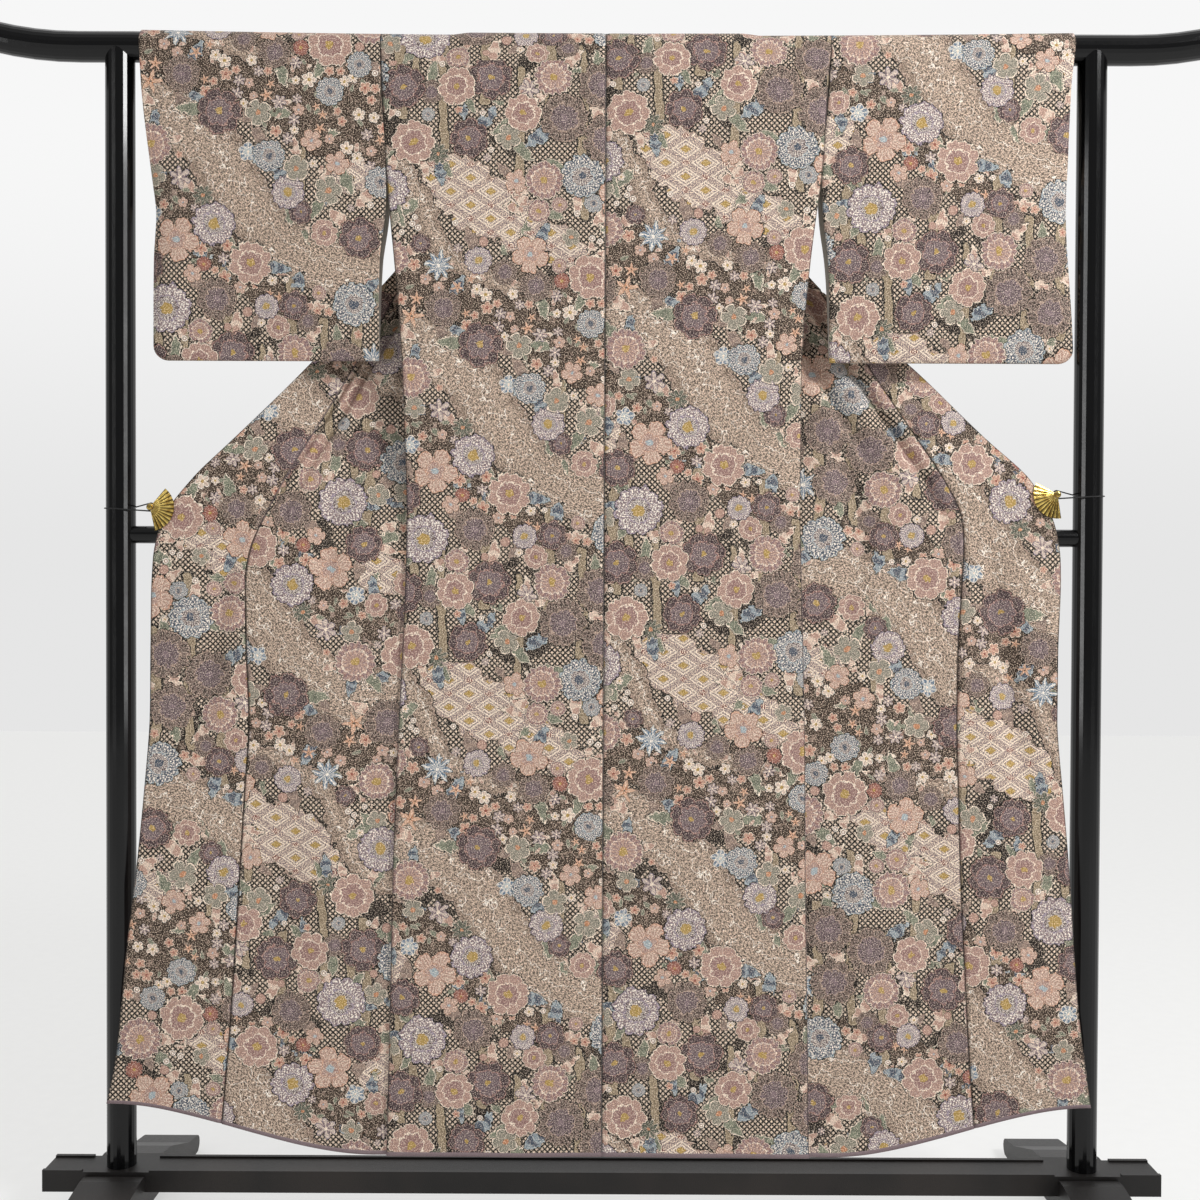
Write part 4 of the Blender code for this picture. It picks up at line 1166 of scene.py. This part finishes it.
def edged(g, color, depth, inside, line, dark=INK):
    """Lays one ground over another with a pale line inside its edge and a dark gap outside."""
    color = g.mix(g.rise(depth, -2.6, -1.6), color, dark)
    color = g.mix(g.rise(depth, -0.2, 0.2), color, line)
    return g.mix(g.rise(depth, 1.3, 1.7), color, inside)


def woven_look():
    """The patterned silk: grounds, motifs, thread texture, painted shade along the seams and a slight
    crepe bump.
    """
    material, g, shader = shaded("woven_pattern", specular=0.2, dimensions="2D")
    u, v = g.attribute("weave_u"), g.attribute("weave_v")
    place = g.join(u, v)
    fine = g.noise(place, 620.0, 2.0, 0.6)
    middling = g.noise(place, 60.0, 2.0)
    coarse = g.noise(place, 16.0, 2.0)
    wobble = g.chain(g.noise(place, 55.0, 3.0, 0.6), ("SUBTRACT", 0.5), ("MULTIPLY", 24.0))

    band, along, across = g.split(g.attribute("band", "Vector"))
    patch, garden, trunk = g.split(g.attribute("grounds", "Vector"))
    band, patch, garden, trunk = (g.plus(field, wobble) for field in (band, patch, garden, trunk))
    trunk = g.minus(trunk, g.times(wobble, 0.6))

    speckled = g.mix(g.rise(fine, 0.56, 0.68), GROUND, BROWN)
    color = g.mix(g.rise(coarse, 0.36, 0.38), speckled, kanoko(g, u, v, fine))
    color = edged(g, color, garden, garden_ground(g, fine, middling), BROWN)
    bark = g.mix(g.rise(g.noise(place, 260.0, 3.0), 0.40, 0.62), srgb(150, 134, 112), TRUNK)
    color = edged(g, color, trunk, bark, TRUNK)
    color = edged(g, color, patch, lattice(g, u, v, fine), STONE)
    strand = strands(g, along, across, fine, middling)
    strand = g.mix(g.times(g.rise(band, 12.0, 2.0), 0.45), strand, BROWN)
    color = edged(g, color, band, strand, STONE)

    loose = g.add("ShaderNodeVectorMath", operation="MULTIPLY_ADD")
    g.feed(loose.inputs[0], g.noise(place, 90.0, 2.0, 0.75, output="Color"))
    loose.inputs[1].default_value = (0.36, 0.36, 0)
    loose.inputs[2].default_value = (-0.18, -0.18, 0)
    cover = cover_group()
    top, covered = (0, 0, 0, 1), 0.0
    for layer in range(SLOTS, 0, -1):
        spot = g.add("ShaderNodeVectorMath", operation="ADD")
        g.feed(spot.inputs[0], g.attribute(f"motif_{layer}", "Vector"))
        g.feed(spot.inputs[1], loose.outputs[0])
        covers = g.add("ShaderNodeGroup", node_tree=cover)
        g.feed(covers.inputs["Place"], spot.outputs[0])
        top = g.mix(covers.outputs["Cover"], top, spot.outputs[0])
        covered = g.math("MAXIMUM", covered, covers.outputs["Cover"])
    motif = g.add("ShaderNodeGroup", node_tree=color_group())
    g.feed(motif.inputs["Place"], top)
    color = g.mix(covered, color, motif.outputs["Color"])

    thread = g.noise(place, 900.0, 2.0, 0.7)
    color = g.mix(g.times(g.rise(thread, 0.52, 0.60), 0.48), color, INK)
    color = g.mix(g.times(g.rise(fine, 0.55, 0.65), 0.45), color, CREAM)
    value = g.chain(g.plus(thread, fine), ("SUBTRACT", 1.0), ("MULTIPLY", 1.6), ("ADD", 1.16))
    tone = g.plus(value, g.chain(coarse, ("SUBTRACT", 0.5), ("MULTIPLY", 0.12)))
    # Painted shade along the seams: the cloth darkens towards INK within about 2 mm of them, where the
    # seam's groove lies in shade
    color = g.mix(g.chain(g.rise(g.attribute("seam"), 1.9, 0.7), ("MULTIPLY", 0.6)), color, INK)
    contrast = g.add("ShaderNodeGamma")
    g.feed(contrast.inputs["Color"], color)
    contrast.inputs["Gamma"].default_value = 1.2
    toned = g.add("ShaderNodeVectorMath", operation="SCALE")
    g.feed(toned.inputs[0], contrast.outputs[0])
    g.feed(toned.inputs["Scale"], tone)
    g.feed(shader.inputs["Base Color"], toned.outputs[0])
    shader.inputs["Roughness"].default_value = 0.72
    shader.inputs["Sheen Weight"].default_value = 0.08
    shader.inputs["Sheen Roughness"].default_value = 0.45
    bump = g.add("ShaderNodeBump")
    bump.inputs["Strength"].default_value = 0.35
    bump.inputs["Distance"].default_value = 0.0006
    g.feed(bump.inputs["Height"], thread)
    g.feed(shader.inputs["Normal"], bump.outputs[0])
    return material


# Where each piece was cut from the bolt: across and down
CUTS = {
    "body_left": (0.322, 0.02),
    "body_right": (0.028, 0.06),
    "okumi_left": (0.33, 0.30),
    "okumi_right": (0.09, 0.52),
    "sleeve_left": (0.68, 0.34),
    "sleeve_right": (-0.29, 0.48),
    "collar": (-0.2, 0.0),
}


def paint_pattern(mesh, panel):
    """Gives a shell its places in the woven pattern, for the patterned look to draw."""
    start_u, start_v = CUTS[panel.name]
    u, v = panel.u + start_u, panel.v + start_v
    if panel.ring:
        u, v = (np.concatenate([field, field[:, :1]], axis=1) for field in (u, v))
    band, along, across, patch, garden, trunk = pattern_fields(u, v)
    if panel.ring:
        u_point, v_point = u[:, :-1], v[:, :-1]
        fields = [field[:, :-1] for field in (band, along, across, patch, garden, trunk)]
    else:
        u_point, v_point, fields = u, v, (band, along, across, patch, garden, trunk)
    for name, values in (("weave_u", u_point), ("weave_v", v_point)):
        layer = mesh.attributes.new(name, "FLOAT", "POINT")
        layer.data.foreach_set("value", np.tile(values.reshape(-1), 2).astype(np.float32))
    for name, group in (("band", fields[:3]), ("grounds", fields[3:])):
        values = np.stack([field.reshape(-1) for field in group], axis=1)
        layer = mesh.attributes.new(name, "FLOAT_VECTOR", "POINT")
        layer.data.foreach_set("vector", np.tile(values, (2, 1)).reshape(-1).astype(np.float32))
    # The distance from the seams, where the patterned look paints shade along them
    layer = mesh.attributes.new("seam", "FLOAT", "POINT")
    layer.data.foreach_set("value", np.tile(panel.from_seams().reshape(-1), 2).astype(np.float32))
    layers = motif_layers(u, v, MOTIFS)
    corners = np.zeros(len(mesh.loops) * 3, np.float32)
    for k in range(SLOTS):
        corners[:] = NO_MOTIF
        values = layers[k].reshape(-1, 4, 3)
        if panel.outward < 0:
            values = values[:, ::-1]
        corners[: values.size] = values.reshape(-1)
        layer = mesh.attributes.new(f"motif_{k + 1}", "FLOAT_VECTOR", "CORNER")
        layer.data.foreach_set("vector", corners)


def shell(panel, looks, nodes, hems=()):
    """A closed thin shell round the panel's middle layer: patterned outside, lining inside.

    The looks are the outside's, the inside's and that of the padded hem rows.
    """
    grid, normal = panel.points, panel.normals()
    rows, columns = grid.shape[:2]
    half = np.full((rows, 1, 1), CLOTH / 2)
    for row in hems:
        half[row] = HEM_ROLL
    skins = [grid + normal * half, grid - normal * half]
    count = rows * columns
    index = np.arange(count).reshape(rows, columns)
    wide = index[:, list(range(columns)) + [0]] if panel.ring else index
    quads = np.stack([wide[:-1, :-1], wide[1:, :-1], wide[1:, 1:], wide[:-1, 1:]], axis=2)
    hem_faces = np.zeros(quads.shape[:2], bool)
    for row in hems:
        hem_faces[row] = True
    quads = quads.reshape(-1, 4)
    border = [wide[0], wide[-1][::-1]]
    if not panel.ring:
        around = (wide[0], wide[1:, -1], wide[-1, -2::-1], wide[-2::-1, 0])
        border = [np.concatenate(around)]
    rims = np.concatenate(
        [
            np.stack([line[:-1], line[1:], line[1:] + count, line[:-1] + count], axis=1)
            for line in border
        ]
    )
    turned = slice(None, None, -1 if panel.outward < 0 else 1)
    faces = np.concatenate([quads[:, turned], quads[:, turned][:, ::-1] + count, rims[:, turned]])
    mesh = bpy.data.meshes.new(panel.name)
    points = np.concatenate([skin.reshape(-1, 3) for skin in skins])
    mesh.from_pydata(points.tolist(), [], faces.tolist())
    for look in looks:
        mesh.materials.append(look)
    outside = np.where(hem_faces.reshape(-1), 2, 0)
    inside = np.where(hem_faces.reshape(-1), 2, 1)
    slots = np.concatenate([outside, inside, np.full(len(rims), 2 if hems else 0)])
    mesh.polygons.foreach_set("material_index", slots)
    mesh.polygons.foreach_set("use_smooth", np.ones(len(faces), bool))
    paint_pattern(mesh, panel)
    lay_out(mesh, panel, len(rims), turned)
    piece = bpy.data.objects.new(panel.name + "_cloth", mesh)
    bpy.context.collection.objects.link(piece)
    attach(piece, "root")
    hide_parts(*nodes)
    return piece


def lay_out(mesh, panel, rim_count, turned):
    """A flat layout of the shell: the outside in a few strips side by side, then the lining
    in narrower ones, then the rims.
    """
    rows, columns = panel.points.shape[:2]
    columns += 1 if panel.ring else 0
    length = np.linalg.norm(np.diff(panel.points, axis=0), axis=2).sum(axis=0).mean()
    width = np.linalg.norm(np.diff(panel.points, axis=1), axis=2).sum(axis=1).mean()
    strips = max(1, round(math.sqrt(OUTSIDE_SHARE * length / width)))
    deep = math.ceil((rows - 1) / strips)
    row, column = np.mgrid[0 : rows - 1, 0 : columns - 1]
    strip = row // deep
    corners = []
    for down, right in ((0, 0), (1, 0), (1, 1), (0, 1)):
        x = (strip + 0.02 + 0.96 * (column + right) / (columns - 1)) / strips
        y = 0.005 + 0.99 * (row - strip * deep + down) / deep
        corners.append(np.stack([x, y], axis=2))
    outside = np.stack(corners, axis=2).reshape(-1, 4, 2)[:, turned]
    inside = outside[:, ::-1] * (LINING_SHARE, 1) + (OUTSIDE_SHARE, 0)
    outside = outside * (OUTSIDE_SHARE, 1)
    start = np.arange(rim_count) / rim_count
    rims = np.empty((rim_count, 4, 2))
    rims[:, :, 0] = (0.985, 0.985, 0.995, 0.995)
    rims[:, (0, 3), 1] = start[:, None]
    rims[:, (1, 2), 1] = start[:, None] + 1 / rim_count
    layout = mesh.uv_layers.new(name="OFBake")
    places = np.concatenate([outside, inside, rims[:, turned]]).reshape(-1)
    layout.data.foreach_set("uv", places.astype(np.float32))


def shaded(name, metallic=0.0, specular=0.5, dimensions="3D"):
    """A new material, its graph and its shader."""
    material = bpy.data.materials.new(name)
    material.use_nodes = True
    shader = material.node_tree.nodes["Principled BSDF"]
    shader.inputs["Metallic"].default_value = metallic
    shader.inputs["Specular IOR Level"].default_value = specular
    return material, Graph(material.node_tree, dimensions), shader


def object_place(g):
    return g.add("ShaderNodeTexCoord").outputs["Object"]


def surface(g, shader, color, roughness, height, depth):
    """Joins a colour, a roughness and a bump of the given depth to the shader."""
    g.feed(shader.inputs["Base Color"], color)
    g.feed(shader.inputs["Roughness"], roughness)
    bump = g.add("ShaderNodeBump")
    bump.inputs["Distance"].default_value = depth
    g.feed(bump.inputs["Height"], height)
    g.feed(shader.inputs["Normal"], bump.outputs[0])


def lining_look():
    """Plain off-white silk with a fine weave, more mauve towards the hem."""
    material, g, shader = shaded("lining_silk")
    place = object_place(g)
    height = g.split(place)[2]
    cloudy = g.noise(place, 9.0, 3.0)
    weave = g.noise(place, 1500.0, 2.0, 0.7)
    color = g.mix(g.rise(height, 0.85, 0.70), srgb(214, 208, 198), srgb(158, 140, 136))
    color = g.mix(g.rise(cloudy, 0.3, 0.8), color, g.mix(0.5, color, srgb(196, 186, 176)))
    color = g.mix(g.times(weave, 0.2), color, srgb(130, 120, 112))
    surface(g, shader, color, g.chain(weave, ("MULTIPLY", 0.2), ("ADD", 0.5)), weave, 0.0002)
    shader.inputs["Sheen Weight"].default_value = 0.3
    return material


def hem_look():
    """The padded hem's plain mauve-grey silk."""
    material, g, shader = shaded("hem_silk")
    weave = g.noise(object_place(g), 1300.0, 2.0, 0.7)
    color = g.mix(g.rise(weave, 0.3, 0.7), srgb(118, 100, 104), srgb(146, 128, 130))
    surface(g, shader, color, 0.65, weave, 0.0003)
    return material


# The two fan clips: pivot and the directions of the first and last rib, in degrees
Fan = collections.namedtuple("Fan", "x z first_rib last_rib")
FANS = {"left": Fan(-0.622, 0.993, 50.0, -78.0), "right": Fan(0.620, 1.015, 151.0, 279.0)}
FAN_PLEATS = 12
ARC_RADIUS = 0.013


def gloss_look():
    """Black lacquer on tube: faint waves in the coat and a little dust on top."""
    material, g, shader = shaded("gloss_black", specular=0.32)
    place = object_place(g)
    wave = g.noise(place, 14.0, 2.0)
    dust = g.noise(place, 420.0, 3.0, 0.7)
    color = g.mix(g.rise(dust, 0.60, 0.80), srgb(5, 5, 6), srgb(18, 18, 20))
    roughness = g.plus(g.times(wave, 0.10), g.times(dust, 0.14))
    surface(g, shader, color, roughness, wave, 0.0002)
    return material


def satin_look():
    """Satin black paint with a fine grain and faintly brownish patches."""
    material, g, shader = shaded("satin_black", specular=0.3)
    place = object_place(g)
    grain = g.noise(place, 700.0, 3.0, 0.6)
    patches = g.noise(place, 7.0, 3.0)
    color = g.mix(g.rise(patches, 0.35, 0.70), srgb(26, 24, 23), srgb(42, 37, 34))
    color = g.mix(g.times(grain, 0.3), color, srgb(24, 23, 23))
    roughness = g.chain(grain, ("MULTIPLY", 0.25), ("ADD", 0.32))
    surface(g, shader, color, roughness, grain, 0.0003)
    return material


def brass_look(side):
    """Polished brass with painted shade in the gaps between the fan's ribs, a bright arc where there is
    none, and fine scratches.
    """
    material, g, shader = shaded(f"polished_brass_{side}", metallic=1.0)
    place = object_place(g)
    fan = FANS[side]
    x, _, z = g.split(place)
    x, z = g.minus(x, fan.x), g.minus(z, fan.z)
    middle = math.radians((fan.first_rib + fan.last_rib) / 2)
    span = math.radians(abs(fan.last_rib - fan.first_rib))
    cosine, sine = math.cos(middle), math.sin(middle)
    ahead = g.plus(g.times(x, cosine), g.times(z, sine))
    aside = g.minus(g.times(z, cosine), g.times(x, sine))
    ribs = g.chain(g.math("ARCTAN2", aside, ahead), ("MULTIPLY", FAN_PLEATS / span), ("ADD", 20.0))
    # Painted shade: dark in the gaps between the fan's ribs, except on the arc round the pivot
    gap_shade = g.rise(g.off(g.math("FRACT", ribs), 0.5), 0.26, 0.38)
    radius = g.math("SQRT", g.plus(g.times(x, x), g.times(z, z)))
    arc = g.rise(g.off(radius, ARC_RADIUS), 0.0013, 0.0008)
    gap_shade = g.times(gap_shade, g.minus(1.0, arc))
    scratch = g.noise(place, 900.0, 3.0, 0.7)
    tarnish = g.noise(place, 160.0, 3.0)
    color = g.mix(g.rise(tarnish, 0.35, 0.75), srgb(222, 194, 112), srgb(158, 122, 56))
    color = g.mix(g.times(gap_shade, 0.85), color, srgb(46, 34, 20))
    roughness = g.chain(scratch, ("MULTIPLY", 0.22), ("ADD", 0.12))
    surface(g, shader, color, roughness, scratch, 0.0001)
    return material


def cord_look():
    """Black elastic cord with a fine braid."""
    material, g, shader = shaded("black_cord")
    braid = g.cells(object_place(g), 1400.0)
    color = g.mix(g.rise(braid, 0.2, 0.7), srgb(30, 29, 30), srgb(12, 12, 13))
    surface(g, shader, color, 0.7, braid, 0.0003)
    return material


MOTIFS = plant_motifs()
patterned, lining, hem = woven_look(), lining_look(), hem_look()
gloss, satin, corded = gloss_look(), satin_look(), cord_look()

# The cloth pieces; the hems are the first and the last row of points
BACK_HEM, FRONT_HEM = 0, -1
looks = (patterned, lining, hem)
for side in SIDES:
    shell(
        body_panel(side), looks, [f"body_{side}"],
        hems=(BACK_HEM, FRONT_HEM),
    )
    shell(
        okumi_panel(side), looks, [f"okumi_{side}"],
        hems=(FRONT_HEM,),
    )
    shell(sleeve_panel(side), looks, [f"sleeve_{side}"])
shell(
    collar_panel(), (patterned, patterned, hem), ["collar"],
)

# The stand, the clips and the cords keep their own meshes and get these looks
LOOKS = (
    (gloss, ("top_rail", "post_left", "post_right", "crossbar")),
    (satin, ("base_bar", "foot_left", "foot_right")),
    (brass_look("left"), ("clip_left_fan", "clip_left_jaw", "clip_left_pin")),
    (brass_look("right"), ("clip_right_fan", "clip_right_jaw", "clip_right_pin")),
    (corded, ("cord_left", "cord_right")),
)
for look, nodes in LOOKS:
    for node in nodes:
        for holder in bpy.data.objects[node].material_slots:
            holder.material = look

# Camera: its focal length is in widths of the picture, its angles are in degrees
FOCAL_LENGTH_IN_PICTURES = 1369.2 / 1200
CAMERA_PLACE = (-0.003, -1.905, 0.898)
CAMERA_ROLL, CAMERA_PITCH, CAMERA_YAW = -0.235, -0.913, 0.069
FLOOR_HALF = 6

camera = bpy.data.cameras.new("camera")
camera.sensor_width = 36
camera.lens = FOCAL_LENGTH_IN_PICTURES * camera.sensor_width
view = bpy.data.objects.new("camera", camera)
bpy.context.collection.objects.link(view)
turn = (
    Matrix.Rotation(math.radians(CAMERA_YAW), 4, "Z")
    @ Matrix.Rotation(math.radians(CAMERA_PITCH), 4, "X")
    @ Matrix.Rotation(math.radians(CAMERA_ROLL), 4, "Y")
    @ Matrix.Rotation(math.radians(90), 4, "X")
)
view.matrix_world = Matrix.Translation(CAMERA_PLACE) @ turn
bpy.context.scene.camera = view
bpy.context.scene.view_settings.view_transform = "Standard"

# Floor: it gives off some light, so that it is as bright as the wall behind it
floor = bpy.data.meshes.new("floor")
corners = [(x * FLOOR_HALF, y * FLOOR_HALF, 0) for x, y in ((-1, -1), (1, -1), (1, 1), (-1, 1))]
floor.from_pydata(corners, [], [(0, 1, 2, 3)])
floor_look, g, shader = shaded("pale_floor")
paper = g.noise(object_place(g), 40.0, 1.0)
g.feed(shader.inputs["Base Color"], g.mix(paper, srgb(154, 154, 153), srgb(148, 148, 147)))
shader.inputs["Roughness"].default_value = 0.8
shader.inputs["Emission Color"].default_value = (1, 1, 0.99, 1)
shader.inputs["Emission Strength"].default_value = 0.53
floor_look.cycles.emission_sampling = "NONE"
floor.materials.append(floor_look)
ground = bpy.data.objects.new("floor", floor)
bpy.context.collection.objects.link(ground)

# Light all round: brightest behind the part, where it is the picture's wall, and overhead
world = bpy.data.worlds.new("studio")
bpy.context.scene.world = world
world.use_nodes = True
sky = Graph(world.node_tree)
_, along_y, up = sky.split(sky.add("ShaderNodeTexCoord").outputs["Generated"])
wall = sky.chain(sky.rise(up, 0.0, 0.30), ("MULTIPLY", 0.14), ("ADD", 0.49))
behind = sky.times(sky.rise(along_y, -0.25, 0.45), wall)
overhead = sky.chain(sky.rise(up, 0.45, 0.75), ("MULTIPLY", 0.24), ("ADD", 0.30))
light = sky.plus(behind, overhead)
sky.feed(world.node_tree.nodes["Background"].inputs["Color"], sky.join(light, light, light))

# Lamps: one main softbox high on the right, and a narrow one on each side for the tubes
Softbox = collections.namedtuple("Softbox", "name place width height power")
LIT_PLACE = (0, 0, 0.9)
SOFTBOXES = (
    Softbox("key", (2.3, -1.7, 2.9), 0.8, 0.8, 76),
    Softbox("strip_left", (-2.3, -2.0, 1.4), 0.22, 2.2, 11),
    Softbox("strip_right", (2.5, -2.1, 1.4), 0.22, 2.2, 11),
)
for softbox in SOFTBOXES:
    lamp = bpy.data.lights.new(softbox.name, "AREA")
    lamp.shape = "RECTANGLE"
    lamp.size, lamp.size_y, lamp.energy = softbox.width, softbox.height, softbox.power
    fixture = bpy.data.objects.new(softbox.name, lamp)
    bpy.context.collection.objects.link(fixture)
    fixture.location = softbox.place
    towards = Vector(LIT_PLACE) - fixture.location
    fixture.rotation_euler = towards.to_track_quat("-Z", "Y").to_euler()
